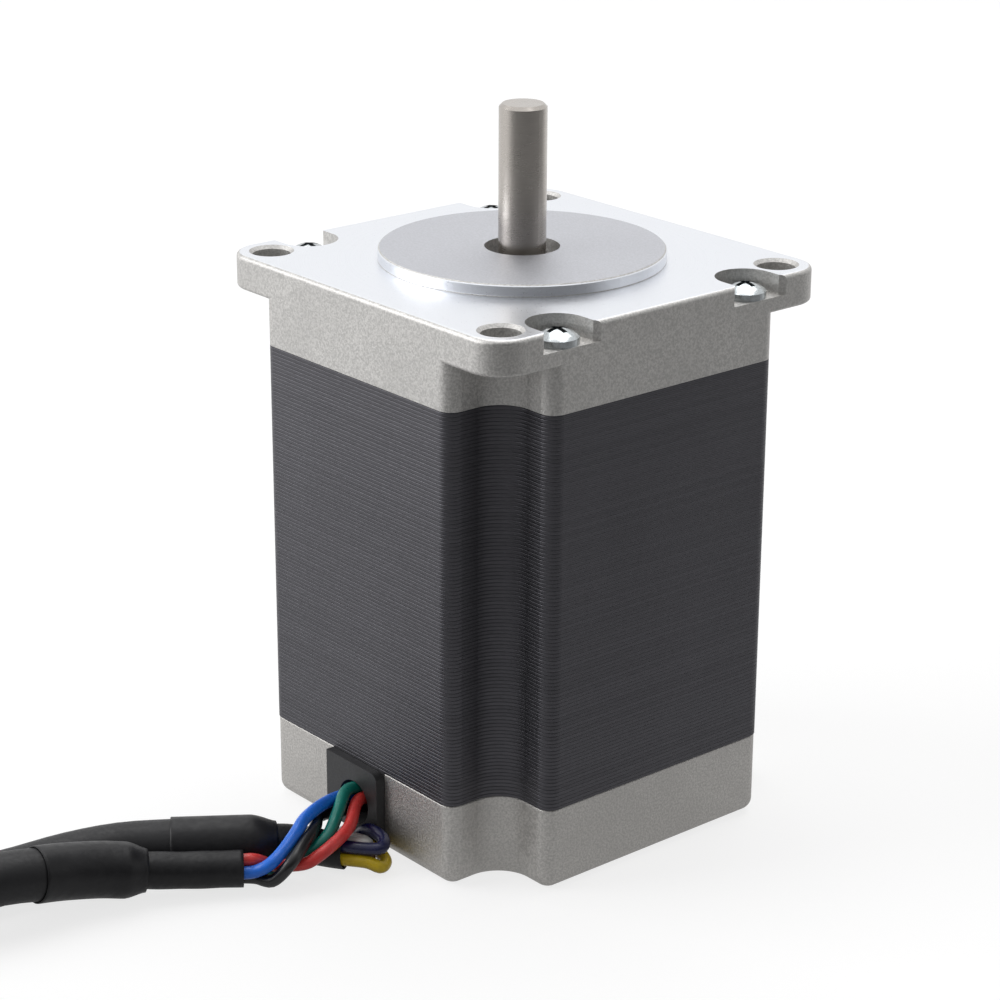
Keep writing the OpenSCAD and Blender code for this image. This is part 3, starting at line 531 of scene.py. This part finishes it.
TIE = Moulded("coil_tie", "tie_black", (0.022, 0.022, 0.024), roughness=0.45)
TINNED = Plated("tinned_strands", "tinned_wire", (0.62, 0.60, 0.56), roughness=0.3)
WIRES: dict[str, Insulation] = {
    name: Insulation(f"{name}_insulation", f"wire_{name}", colour) for name, colour in (
        ("blue", (0.020, 0.21, 0.95)), ("black", (0.014, 0.014, 0.016)), ("green", (0.003, 0.24, 0.19)),
        ("red", (0.86, 0.06, 0.055)), ("yellow", (0.86, 0.62, 0.02)), ("navy", (0.010, 0.012, 0.070)),
        ("white", (0.80, 0.80, 0.78)), ("brown", (0.16, 0.06, 0.03)))
}


# Shapes


class Mesh:
    """Gathers corners and faces for one piece, in millimetres."""

    def __init__(self) -> None:
        """Start with nothing."""
        self.points: list[Vector] = []
        self.faces: list[list[int]] = []
        self.slots: list[int] = []
        self.flat: list[int] = []

    def ring(self, centre: Vector, across: Vector, up: Vector, radius: float, sides: int) -> list[int]:
        """Add one ring of corners.

        Args:
            centre: The ring's centre.
            across: Unit direction of its first corner.
            up: Unit direction a quarter turn on.
            radius: The ring's radius.
            sides: Number of corners.

        Returns:
            The corners' indices.
        """
        turns = [2.0 * math.pi * k / sides for k in range(sides)]
        return self.loop([centre + radius * (math.cos(t) * across + math.sin(t) * up) for t in turns])

    def band(self, low: list[int], high: list[int], slot: int = 0) -> None:
        """Join two rings with faces.

        Args:
            low: The first ring's corners.
            high: The second ring's corners.
            slot: The faces' material slot.
        """
        count = len(low)
        for k in range(count):
            n = (k + 1) % count
            self.faces.append([low[k], low[n], high[n], high[k]])
            self.slots.append(slot)

    def skin(self, rings: list[list[int]], slot: int = 0, inward: bool = False) -> None:
        """Join rings in their order, with faces that look out or in."""
        for low, high in zip(rings, rings[1:]):
            self.band(*((high, low) if inward else (low, high)), slot)

    def close(self, rings: list[list[int]], slot: int = 0) -> None:
        """Join rings in their order and close both ends.

        Args:
            rings: The rings' corners.
            slot: The faces' material slot.
        """
        self.skin(rings, slot)
        self.cap(rings[0][::-1], slot)
        self.cap(rings[-1], slot)

    def hollow(self, outer: list[list[int]], inner: list[list[int]]) -> None:
        """Join an outer and an inner skin into a hollow piece.

        Args:
            outer: The outer skin's rings.
            inner: The inner skin's rings, as many.
        """
        self.skin(outer)
        self.skin(inner, inward=True)
        self.band(inner[0], outer[0])
        self.band(outer[-1], inner[-1])

    def loop(self, places: list[Vector]) -> list[int]:
        """Add a loop of corners and return their indices."""
        self.points.extend(places)
        return list(range(len(self.points) - len(places), len(self.points)))

    def cap(self, ring: list[int], slot: int = 0) -> None:
        """Close a ring with one flat face.

        Args:
            ring: The ring's corners.
            slot: The face's material slot.
        """
        self.flat.append(len(self.faces))
        self.faces.append(ring)
        self.slots.append(slot)

    def tube(self, line: "Line", radius: float, sides: int, slot: int = 0, rim: float = 0.12) -> None:
        """Add a solid tube along a line, with its end rims rounded.

        Args:
            line: The line that it follows.
            radius: The tube's radius.
            sides: Number of sides.
            slot: The faces' material slot.
            rim: Radius of the rounded rims.
        """
        frames = line.frames()
        rings = [self.ring(line.points[0], *frames[0][1:], radius - rim, sides)]
        for i, (point, (ahead, side, up)) in enumerate(zip(line.points, frames)):
            shift = rim * ahead if i == 0 else -rim * ahead if i == len(frames) - 1 else Vector()
            rings.append(self.ring(point + shift, side, up, radius, sides))
        rings.append(self.ring(line.points[-1], *frames[-1][1:], radius - rim, sides))
        self.close(rings, slot)

    def pipe(self, line: "Line", outer: list[float], inner: list[float], sides: int) -> None:
        """Add a hollow tube along a line.

        Args:
            line: The line that it follows.
            outer: Outer radius at each point.
            inner: Inner radius at each point.
            sides: Number of sides.
        """
        frames = line.frames()
        self.hollow(*([self.ring(p, *f[1:], r, sides) for p, f, r in zip(line.points, frames, radii)]
                      for radii in (outer, inner)))

    def block(self, middle: Vector, axes: tuple[Vector, Vector, Vector], size: Place, rim: float,
              corner: float, steps: int = 5) -> list[list[int]]:
        """Add the outlines of a short block with round corners and rims.

        Args:
            middle: The block's middle.
            axes: Directions along the block, across it and upward.
            size: Its length, half width and half height.
            rim: Inset of its rims.
            corner: Radius of its corners.
            steps: Steps in a corner.

        Returns:
            Its loops of corners, from one end to the other.
        """
        along, across, up = axes
        length, half_w, half_h = size
        turns = [(sx, sz, math.radians(90.0 * (k + s / steps)))
                 for k, (sx, sz) in enumerate(((1, 1), (-1, 1), (-1, -1), (1, -1)))
                 for s in range(steps + 1)]
        rings: list[list[int]] = []
        for slide, share in LOFT:
            foot = middle + slide * length * along
            flat_w, flat_h = half_w - share * rim - corner, half_h - share * rim - corner
            rings.append(self.loop([foot + (sx * flat_w + corner * math.cos(t)) * across
                                    + (sz * flat_h + corner * math.sin(t)) * up for sx, sz, t in turns]))
        return rings

    def piece(self, name: str, finishes: list[Finish]) -> bpy.types.Object:
        """Make the mesh a piece of the motor's body.

        Args:
            name: The piece's name.
            finishes: A finish for each slot of its faces.

        Returns:
            The new object.
        """
        mesh = bpy.data.meshes.new(name)
        mesh.from_pydata([MM * p for p in self.points], [], self.faces)
        for finish in finishes:
            mesh.materials.append(finish.material())
        for index, face in enumerate(mesh.polygons):
            face.material_index = self.slots[index]
            face.use_smooth = True
        for index in self.flat:
            mesh.polygons[index].use_smooth = False
        mesh.validate()
        mesh.update()
        piece = bpy.data.objects.new(name, mesh)
        bpy.context.scene.collection.objects.link(piece)
        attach(piece, "root")
        return piece


@dataclass
class Line:
    """A smooth line through points, with the frame that its tubes use."""

    points: list[Vector]

    @staticmethod
    def through(points: list[Vector], step: float) -> "Line":
        """Lay a smooth line through points.

        Args:
            points: Points that it passes, in millimetres.
            step: Greatest distance between its own points.

        Returns:
            The line.
        """
        ends = [2.0 * points[0] - points[1], *points, 2.0 * points[-1] - points[-2]]
        out: list[Vector] = []
        for i in range(1, len(ends) - 2):
            corners = ends[i - 1:i + 3]
            count = max(1, math.ceil((corners[2] - corners[1]).length / step))
            knots = [0.0]
            for p, q in zip(corners, corners[1:]):
                knots.append(knots[-1] + max(1e-6, (q - p).length) ** 0.5)
            for k in range(count):
                t = knots[1] + (knots[2] - knots[1]) * k / count
                out.append(Line.eased(corners, knots, t))
        return Line([*out, points[-1].copy()])

    @staticmethod
    def eased(corners: list[Vector], knots: list[float], t: float) -> Vector:
        """Find a point of a centripetal spline.

        Args:
            corners: Four points in a row.
            knots: Their knot values.
            t: The point's knot value, between those of the middle two.

        Returns:
            The point.
        """
        for spans in (((0, 1), (1, 2), (2, 3)), ((0, 2), (1, 3)), ((1, 2),)):
            ends = [(knots[low], knots[high]) for low, high in spans]
            corners = [p * ((high - t) / (high - low)) + q * ((t - low) / (high - low))
                       for p, q, (low, high) in zip(corners, corners[1:], ends)]
        return corners[0]

    def runs(self) -> list[float]:
        """Return each point's distance along the line, in millimetres."""
        return [0.0, *accumulate((b - a).length for a, b in zip(self.points, self.points[1:]))]

    def heading(self, index: int) -> Vector:
        """Return the line's direction at a point."""
        last = len(self.points) - 1
        return (self.points[min(index + 1, last)] - self.points[max(index - 1, 0)]).normalized()

    def frames(self) -> list[tuple[Vector, Vector, Vector]]:
        """Find the frame of a tube at each point, turned as little as possible from one to the next.

        Returns:
            A direction, a side and an upward vector for each point.
        """
        out: list[tuple[Vector, Vector, Vector]] = []
        for i in range(len(self.points)):
            ahead = self.heading(i)
            side = out[-1][1] - out[-1][1].dot(ahead) * ahead if out else ahead.cross(UP)
            side.normalize()
            out.append((ahead, side, ahead.cross(side)))
        return out

    def metres(self) -> list[Place]:
        """Return the points in metres."""
        return [tuple(MM * p) for p in self.points]


def dress(finish: Finish, *nodes: str) -> None:
    """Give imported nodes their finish.

    Args:
        finish: The finish.
        nodes: The nodes' names.
    """
    for node in nodes:
        solid = frame["nodes"][node]
        solid.data.materials.clear()
        solid.data.materials.append(finish.material())


# Sub-assemblies


@dataclass
class Body:
    """The two end caps, the stator and what they hold."""

    poles: int = 8

    def build(self) -> None:
        """Dress every fixed part of the motor's body."""
        dress(CAST, "front_cap")
        dress(CAST_REAR, "rear_cap")
        dress(STATOR, "stator_stack")
        dress(ZINC, "through_screws")
        dress(GROMMET, "lead_grommet")
        dress(BOARD, "lead_board")
        dress(SPRING, "wave_washer")
        dress(CREAM, "front_insulator", "rear_insulator")
        dress(COPPER, *(f"winding_{pole + 1}" for pole in range(self.poles)))
        LOG.info("body: caps, stator, screws, grommet, board, insulators and %d windings", self.poles)


@dataclass
class Rotor:
    """The shaft with its toothed cups and magnets."""

    cups: int = 4
    magnets: int = 2

    def build(self) -> None:
        """Dress the turning parts."""
        dress(SHAFT, "shaft")
        dress(SPACER, "rotor_spacer")
        dress(CUP, *(f"rotor_cup_{cup + 1}" for cup in range(self.cups)))
        dress(MAGNET, *(f"magnet_{magnet + 1}" for magnet in range(self.magnets)))
        LOG.info("rotor: shaft, spacer, %d cups and %d magnets", self.cups, self.magnets)


@dataclass
class Bearing:
    """One ball bearing."""

    end: str

    def build(self) -> None:
        """Dress the bearing's parts."""
        for part, finish in (("outer_ring", RACE), ("inner_ring", RACE), ("balls", BALL), ("cage", CAGE),
                             ("shields", SPRING)):
            dress(finish, f"{self.end}_bearing_{part}")
        LOG.info("%s bearing", self.end)


@dataclass
class Lead:
    """One insulated lead between the winding board and the cable's jacket."""

    colour: str
    points: list[Place]
    bundle_angle: float
    length: float


@dataclass
class Cable:
    """A cable with its four leads, sleeves, jacket, coil and free end."""

    name: str
    leads: list[Lead]
    route: list[Place]
    shrink_at: int
    jacket_at: int
    shrink_end: int
    coil_z: float
    tie_angle: float
    droops: tuple[float, ...]
    jacket_length: float
    # side towards the coil's middle, level, radius and swept angle of each flying lead
    fan: tuple[tuple[int, int, float, float], ...] = ((1, -1, 13.0, 100.0), (1, 1, 17.0, 82.0),
                                                      (-1, 1, 21.0, 68.0), (-1, -1, 26.0, 56.0))
    lead_radius: float = 0.85
    lead_lift: float = 0.02
    lead_diameter: float = 0.0017
    bundle_radius: float = 1.25
    sleeve_radius: float = 2.45
    sleeve_bore: float = 2.27
    neck_radius: float = 2.85
    shrink_radius: float = 3.68
    shrink_bore: float = 2.5
    jacket_bore: float = 3.46
    jacket_radius: float = JACKET_RADIUS
    coil_centre: tuple[float, float] = (16.0, -144.0)
    coil_start: float = 180.0
    coil_radius: float = 41.0
    coil_pitch: float = 7.8
    coil_turns: float = 1.55
    coil_steps: int = 24
    tail_length: float = 4.0
    tie_thickness: float = TIE_THICKNESS
    tie_width: float = 4.0
    tie_gap: float = TIE_GAP
    tie_side_gap: float = 0.4
    tie_rim: float = 0.15
    tie_corner: float = 1.2
    head_size: Place = (5.2, 4.2, 4.0)
    head_rim: float = 0.35
    head_corner: float = 0.6
    tip_radius: float = 0.5
    tip_length: float = 6.0
    tip_rim: float = 0.2
    jacket_rim: float = 0.3
    sleeve_dip: float = 0.05
    sleeve_waves: float = 9.0
    shrink_ease: float = 0.8
    # steps along the lines in millimetres, steps of the arcs, and sides
    lead_step: float = 0.6
    sleeve_step: float = 0.5
    shrink_step: float = 0.35
    jacket_step: float = 2.5
    fan_steps: int = 24
    tip_steps: int = 8
    lead_sides: int = 16
    jacket_sides: int = 28
    shrink_sides: int = 36
    fan_sides: int = 14
    tip_sides: int = 12

    def corners(self) -> list[Vector]:
        """Return the route's points."""
        return [Vector(p) for p in self.route]

    def bundled(self, angle: float) -> list[Vector]:
        """Return a lead's places inside the wire sleeve.

        Args:
            angle: The lead's angle in the bundle, in degrees.

        Returns:
            A point for each point of the route up to the jacket.
        """
        route, turn = Line(self.corners()), math.radians(angle)
        out: list[Vector] = []
        for i, point in enumerate(route.points[:self.jacket_at + 1]):
            ahead = route.heading(i)
            side = -ahead.cross(UP).normalized()
            up = ahead.cross(side)
            out.append(point + self.bundle_radius * (math.cos(turn) * side + math.sin(turn) * up))
        return out

    def coil_point(self, angle: float) -> Vector:
        """Find a place on the coil's middle line.

        Args:
            angle: The angle of winding, in degrees.

        Returns:
            The place.
        """
        radius = self.coil_radius - self.coil_pitch * angle / 360.0
        turn = math.radians(self.coil_start + angle)
        x, y = self.coil_centre
        return Vector((x + radius * math.cos(turn), y + radius * math.sin(turn), self.coil_z))

    def coil_line(self) -> tuple[list[Vector], Vector]:
        """Lay out the coil with its straight tail.

        Returns:
            The points, and the direction of the tail.
        """
        steps = int(self.coil_steps * self.coil_turns)
        points = [self.coil_point(360.0 * k / self.coil_steps) for k in range(steps + 1)]
        last = 360.0 * steps / self.coil_steps
        ahead = (self.coil_point(last + 1.0) - self.coil_point(last - 1.0)).normalized()
        return [*points, points[-1] + self.tail_length * ahead], ahead

    def build_leads(self) -> None:
        """Build the four leads from the board to the jacket."""
        for lead in self.leads:
            line = Line.through([*(Vector(p) for p in lead.points), *self.bundled(lead.bundle_angle)],
                                self.lead_step)
            for point in line.points:
                point.z = max(point.z, FLOOR_Z + self.lead_radius + self.lead_lift)
            mesh = Mesh()
            mesh.tube(line, self.lead_radius, self.lead_sides)
            piece = mesh.piece(f"{lead.colour}_lead", [WIRES[lead.colour]])
            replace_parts(piece, f"lead_{lead.colour}")
            line.metres()
            LOG.info("%s lead, %.1f mm", lead.colour, line.runs()[-1])

    def build_wire_sleeve(self) -> bpy.types.Object:
        """Build the thin sleeve over the leads.

        Returns:
            The sleeve.
        """
        line = Line.through(self.corners()[:self.jacket_at + 1], self.sleeve_step)
        runs = line.runs()
        outer = [self.sleeve_radius - self.sleeve_dip * math.sin(self.sleeve_waves * (run / runs[-1])) ** 2
                 for run in runs]
        mesh = Mesh()
        mesh.pipe(line, outer, [self.sleeve_bore] * len(outer), self.jacket_sides)
        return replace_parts(mesh.piece(f"{self.name}_lead_sleeve", [WRAP]), f"{self.name}_wire_sleeve")

    def build_shrink(self) -> bpy.types.Object:
        """Build the shrink tube over the sleeve's end and the jacket's start.

        Returns:
            The shrink tube.
        """
        points = self.corners()
        head = Line.through(points[self.shrink_at:self.shrink_end + 1], self.shrink_step)
        joint = (points[self.jacket_at] - points[self.shrink_at]).length
        swell = self.shrink_radius - self.neck_radius
        outer, inner = [], []
        for run in head.runs():
            rise = min(1.0, run / joint)
            eased = rise * rise * (3.0 - 2.0 * rise)
            outer.append(self.neck_radius + swell * eased ** self.shrink_ease)
            inner.append(self.shrink_bore if run < joint else self.jacket_bore)
        mesh = Mesh()
        mesh.pipe(head, outer, inner, self.shrink_sides)
        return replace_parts(mesh.piece(f"{self.name}_shrink_tube", [SHRINK]), f"{self.name}_shrink_sleeve")

    def build_jacket(self) -> tuple[bpy.types.Object, Line]:
        """Build the jacket from the shrink tube to the end of the coil.

        Returns:
            The jacket and its middle line.
        """
        coil, _ = self.coil_line()
        line = Line.through([*self.corners()[self.jacket_at:], *coil], self.jacket_step)
        mesh = Mesh()
        mesh.tube(line, self.jacket_radius, self.jacket_sides, rim=self.jacket_rim)
        piece = mesh.piece(f"{self.name}_jacket", [JACKET])
        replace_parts(piece, f"{self.name}_cable_run", f"{self.name}_cable_coil")
        return piece, line

    def build_tie(self) -> bpy.types.Object:
        """Build the tie round two turns of both coils.

        Returns:
            The tie.
        """
        middle = self.coil_radius - self.coil_pitch * (self.tie_angle / 360.0 + 0.5)
        half_w = self.coil_pitch / 2.0 + self.jacket_radius + self.tie_side_gap
        half_h = (REAR_COIL_Z - FRONT_COIL_Z) / 2.0 + self.jacket_radius + self.tie_gap / 2.0
        turn = math.radians(self.coil_start + self.tie_angle)
        radial = Vector((math.cos(turn), math.sin(turn), 0.0))
        along = Vector((-math.sin(turn), math.cos(turn), 0.0))
        centre = Vector((*self.coil_centre, (FRONT_COIL_Z + REAR_COIL_Z) / 2.0)) + middle * radial
        mesh = Mesh()
        mesh.hollow(*(mesh.block(centre, (along, radial, UP), (self.tie_width, half_w + grow, half_h + grow),
                                 rim, self.tie_corner + grow)
                      for grow, rim in ((self.tie_thickness, self.tie_rim), (0.0, 0.0))))
        length, width, height = self.head_size
        middle = (centre - (half_w + self.tie_thickness) * radial
                  + (self.tie_thickness / 2.0 - length / 2.0) * radial + (height / 2.0 - half_h) * UP)
        mesh.close(mesh.block(middle, (radial, along, UP), (length, width / 2.0, height / 2.0),
                              self.head_rim, self.head_corner))
        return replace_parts(mesh.piece(f"{self.name}_tie", [TIE]), f"{self.name}_coil_tie")

    def build_free_end(self) -> list[bpy.types.Object]:
        """Build the flying leads and their tinned tips.

        Returns:
            The leads and the tips.
        """
        coil, ahead = self.coil_line()
        turn = Matrix.Rotation(math.atan2(ahead.y, ahead.x), 3, "Z")
        offset = self.bundle_radius / math.sqrt(2.0)
        leads, tips = Mesh(), Mesh()
        for slot, ((side, level, radius, swept), droop) in enumerate(zip(self.fan, self.droops)):
            tilt = Matrix.Rotation(math.radians(droop), 3, "Y")
            start = Vector((0.0, side * offset, level * offset))

            def arc(low: float, high: float, steps: int) -> Line:
                """Lay part of the lead's arc.

                Args:
                    low: Angle where it starts, in degrees.
                    high: Angle where it ends, in degrees.
                    steps: Number of its steps.

                Returns:
                    The arc's line.
                """
                points = []
                for k in range(steps + 1):
                    a = math.radians(low + (high - low) * k / steps)
                    flat = Vector((radius * math.sin(a), radius * (1.0 - math.cos(a)), 0.0))
                    points.append(coil[-1] + turn @ (start + tilt @ flat))
                return Line(points)

            tip_swept = math.degrees(self.tip_length / radius)
            leads.tube(arc(0.0, swept, self.fan_steps), self.lead_radius, self.fan_sides, slot)
            tips.tube(arc(swept, swept + tip_swept, self.tip_steps), self.tip_radius, self.tip_sides,
                      rim=self.tip_rim)
        colours = [WIRES[lead.colour] for lead in self.leads]
        leads_piece = leads.piece(f"{self.name}_free_leads", colours)
        tips_piece = tips.piece(f"{self.name}_free_tips", [TINNED])
        return [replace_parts(leads_piece, f"{self.name}_flying_leads"),
                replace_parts(tips_piece, f"{self.name}_lead_tips")]

    def build(self) -> None:
        self.build_leads()
        extras = [self.build_wire_sleeve(), self.build_shrink(), self.build_tie(), *self.build_free_end()]
        jacket, line = self.build_jacket()
        line.metres()
        LOG.info("%s cable, %.1f mm of jacket", self.name, line.runs()[-1])


def channel(x: float) -> list[Place]:
    """Return the way of a rear lead from the board down to the channel under the grommet."""
    return [(x, -18.6, -69.7), (x, -21.4, -72.2), (x, -25, -75.1)]


FRONT_CABLE = Cable(
    name="front",
    leads=[
        Lead("blue", [(-2, -21.6, -69.7), (-1, -25.6, -70.2), (-0.6, -30.1, -69.3), (1.1, -34.8, -68.4),
                      (2.8, -39.3, -68.6), (3.9, -41.4, -69.3), (5.1, -44.9, -70.9), (5.3, -47, -71.8),
                      (4.2, -48.3, -72.7)], 0.0, 0.046),
        Lead("black", [(-4.4, -21.2, -69.7), (-3.4, -22.6, -71.8), (-0.6, -25.2, -71.8), (0.3, -30.2, -71),
                       (0.6, -35.2, -70.3), (3.5, -38.2, -70), (6, -42.1, -70.5), (6.9, -44.6, -71.7),
                       (5.5, -46.6, -74.1), (3.3, -47.6, -74.2)], -90.0, 0.051),
        Lead("green", [(0.6, -21.6, -69.7), (0.6, -24.6, -69.7), (0.6, -29.7, -67.9), (1.3, -31.5, -67.8),
                       (3.6, -34.5, -69), (5.3, -37.6, -70.8), (5, -40.3, -72.2), (3.4, -43, -74.2),
                       (2.6, -45, -74.6), (1.9, -46.9, -73.4)], 180.0, 0.047),
        Lead("red", [(3.2, -21.6, -69.7), (2.3, -25.6, -70), (2.1, -29.6, -69), (6, -34.4, -70),
                     (6.9, -36.4, -70.5), (7.3, -40.4, -71.8), (6.7, -42.1, -72.6), (3.6, -45.2, -73),
                     (3, -47.6, -71.7)], 90.0, 0.047),
    ],
    route=[(2.2, -48.8, -72.9), (0.2, -51.9, -72.8), (-2, -55.5, -72.6), (-4.3, -59.5, -72.2),
           (-5.6, -62.1, -71.8), (-6.6, -64.9, -71.2), (-7.7, -70.2, -70.2), (-8, -73.6, -69.6),
           (-9, -78, -69.1), (-11, -90, -70), (-16, -104, -71.3), (-21, -118, -72), (-24.2, -132, -72.05)],
    shrink_at=3, jacket_at=4, shrink_end=7,
    coil_z=FRONT_COIL_Z, tie_angle=135.0, droops=(8.0, 5.0, 4.0, 5.0), jacket_length=0.43,
)
REAR_CABLE = Cable(
    name="rear",
    leads=[
        Lead("white", [*channel(-1.15), (-1.1, -31.2, -75.1), (0.3, -32.6, -73.9), (3.05, -32.42, -73.36),
                       (6, -31.9, -73.1), (7.1, -32.2, -73), (6.8, -32.9, -72.8)], 145.0, 0.040),
        Lead("brown", [*channel(0.75), (1, -31.4, -75.1), (3.4, -32.3, -75.1), (6.5, -31.9, -75),
                       (7.6, -32.4, -74.9), (6.9, -33.2, -74.7)], 235.0, 0.038),
        Lead("navy", [*channel(2.65), (2.65, -29.9, -75.1), (3.2, -30.6, -73.6), (5.2, -30.6, -72),
                      (8.8, -30.9, -72), (10, -32.2, -72.3), (8.9, -33.4, -72.5)], 55.0, 0.041),
        Lead("yellow", [*channel(4.55), (4.55, -29.2, -75.1), (6.9, -29.9, -75.1), (9.3, -31, -75.1),
                        (10.2, -32.6, -74.9), (9.1, -33.7, -74.3)], -35.0, 0.037),
    ],
    route=[(5.82, -34.96, -73.5), (4.15, -36.15, -73.53), (1.9, -37.8, -73.3), (0.1, -39.8, -72.9),
           (-0.7, -41.6, -72.6), (-2.3, -44.6, -72.3), (-5.2, -48.6, -72.3), (-8.3, -52.9, -72.3),
           (-12.1, -58.4, -72.5), (-14, -65, -72.5), (-15.1, -74.6, -72.5), (-17.5, -85, -72.3),
           (-20.8, -95, -71.6), (-24.3, -105, -70.3), (-26.8, -115, -68.3), (-27.6, -125, -66.4),
           (-26.4, -135, -65.2)],
    shrink_at=4, jacket_at=5, shrink_end=7,
    coil_z=REAR_COIL_Z, tie_angle=60.0, droops=(28.0, 19.0, 15.0, 14.0), jacket_length=0.45,
)


@dataclass(frozen=True)
class Lamp:
    """A soft square lamp, with its place and side in metres and its power in watts."""

    name: str
    place: Place
    side: float
    power: float


@dataclass
class Studio:
    """The camera at the photograph's place, the lamps and the floor."""

    place: Place = (270.964, -233.132, 97.967)
    right: Place = (0.64512, 0.76407, 0.00422)
    up: Place = (-0.26738, 0.22057, 0.93801)
    lens: float = 100.93
    sensor: float = 36.0
    bright_way: Place = (-0.88, 0.22, 0.42)
    dim_side: float = 0.06
    soft: float = 0.30
    floor_glow: float = 0.75
    paper_level: float = 0.32
    lamps: tuple[Lamp, ...] = (Lamp("left_window", (-0.75, -0.9, 0.55), 0.9, 9.0),
                               Lamp("overhead", (-0.25, 0.35, 1.1), 1.0, 7.0),
                               Lamp("right_fill", (0.9, 0.75, 0.35), 0.7, 0.8))
    aim: Place = (0.0, 0.0, -0.03)
    clip: tuple[float, float] = (0.01, 20.0)
    sky_ends: tuple[float, float] = (-0.85, 0.45)
    floor_ends: tuple[float, float] = (-0.22, 0.12)
    floor_half: float = 4.0
    floor_drop: float = 0.0002

    def build_camera(self) -> None:
        """Place the camera."""
        data = bpy.data.cameras.new("camera")
        data.sensor_fit = "HORIZONTAL"
        data.sensor_width = self.sensor
        data.lens = self.lens
        data.clip_start, data.clip_end = self.clip
        camera = bpy.data.objects.new("camera", data)
        bpy.context.scene.collection.objects.link(camera)
        right, up = Vector(self.right).normalized(), Vector(self.up).normalized()
        back = right.cross(up).normalized()
        up = back.cross(right)
        turn = Matrix((right, up, back)).transposed().to_4x4()
        camera.matrix_world = Matrix.Translation(MM * Vector(self.place)) @ turn
        bpy.context.scene.camera = camera
        LOG.info("camera")

    def build_lamp(self, lamp: Lamp) -> None:
        """Hang one lamp so that it faces the motor.

        Args:
            lamp: The lamp.
        """
        data = bpy.data.lights.new(lamp.name, "AREA")
        data.shape = "SQUARE"
        data.size = lamp.side
        data.energy = lamp.power
        hung = bpy.data.objects.new(lamp.name, data)
        bpy.context.scene.collection.objects.link(hung)
        hung.location = lamp.place
        hung.rotation_euler = (Vector(self.aim) - Vector(lamp.place)).to_track_quat("-Z", "Y").to_euler()

    def levels(self, nodes: Nodes, way: Socket, ends: tuple[float, float], soft: float) -> Socket:
        """Return the light that a ray finds: white for the camera, a bright and a dim side in gloss.

        Args:
            nodes: The writer of the nodes.
            way: The direction or place that the ray finds.
            ends: Where the dim side ends and the bright side begins, along the bright way.
            soft: The level for all other rays.

        Returns:
            The level's socket.
        """
        dot = nodes.add("ShaderNodeVectorMath", way, self.bright_way, operation="DOT_PRODUCT")
        across = nodes.add("ShaderNodeMapRange", dot.outputs["Value"], *ends).outputs[0]
        path = nodes.add("ShaderNodeLightPath")
        gloss = nodes.add("ShaderNodeMapRange", across, 0.0, 1.0, self.dim_side, 1.0,
                          interpolation_type="SMOOTHSTEP").outputs[0]
        level = nodes.add("ShaderNodeMapRange", path.outputs["Is Glossy Ray"], 0.0, 1.0, soft,
                          gloss).outputs[0]
        direct = nodes.add("ShaderNodeMath", path.outputs["Is Camera Ray"],
                           path.outputs["Is Transmission Ray"], operation="MAXIMUM").outputs[0]
        return nodes.add("ShaderNodeMapRange", direct, 0.0, 1.0, level, 1.0).outputs[0]

    def build_world(self) -> None:
        """Fill the surroundings with a soft light that the camera sees as white."""
        world = bpy.data.worlds.new("studio")
        bpy.context.scene.world = world
        nodes = Nodes(world)
        way = nodes.add("ShaderNodeTexCoord").outputs["Generated"]
        light = nodes.add("ShaderNodeBackground", WHITE, self.levels(nodes, way, self.sky_ends, self.soft))
        nodes.add("ShaderNodeOutputWorld", light.outputs[0])

    def build_floor(self) -> None:
        """Lay a wide pale floor that keeps the motor's shadow."""
        half, z = self.floor_half, MM * FLOOR_Z - self.floor_drop
        mesh = bpy.data.meshes.new("floor")
        corners = [(-half, -half, z), (half, -half, z), (half, half, z), (-half, half, z)]
        mesh.from_pydata(corners, [], [[0, 1, 2, 3]])
        floor = bpy.data.objects.new("floor", mesh)
        bpy.context.scene.collection.objects.link(floor)
        mesh.materials.append(self.paper())

    def paper(self) -> bpy.types.Material:
        """Write the floor's paper, which keeps shadows and is white to the camera where it is lit.

        Returns:
            The material.
        """
        nodes = Nodes(bpy.data.materials.new("floor_paper"))
        place = nodes.add("ShaderNodeTexCoord").outputs["Object"]
        level = nodes.add("ShaderNodeMath", self.levels(nodes, place, self.floor_ends, 0.0),
                          self.floor_glow, operation="MULTIPLY").outputs[0]
        glow = nodes.add("ShaderNodeEmission", WHITE, level)
        paper = nodes.add("ShaderNodeBsdfDiffuse", (self.paper_level,) * 3)
        both = nodes.add("ShaderNodeAddShader", paper.outputs[0], glow.outputs[0])
        nodes.add("ShaderNodeOutputMaterial", both.outputs[0])
        return nodes.owner

    def build(self) -> None:
        """Build the studio."""
        self.build_camera()
        for lamp in self.lamps:
            self.build_lamp(lamp)
        self.build_world()
        self.build_floor()
        bpy.context.scene.view_settings.view_transform = "Standard"
        LOG.info("studio")


def main() -> None:
    """Build the motor in order, the camera and the cables first."""
    logging.basicConfig(level=logging.INFO, format="%(name)s: %(message)s")
    Studio().build()
    FRONT_CABLE.build()
    REAR_CABLE.build()
    Body().build()
    Rotor().build()
    for end in ("front", "rear"):
        Bearing(end).build()


if __name__ == "__main__":
    main()
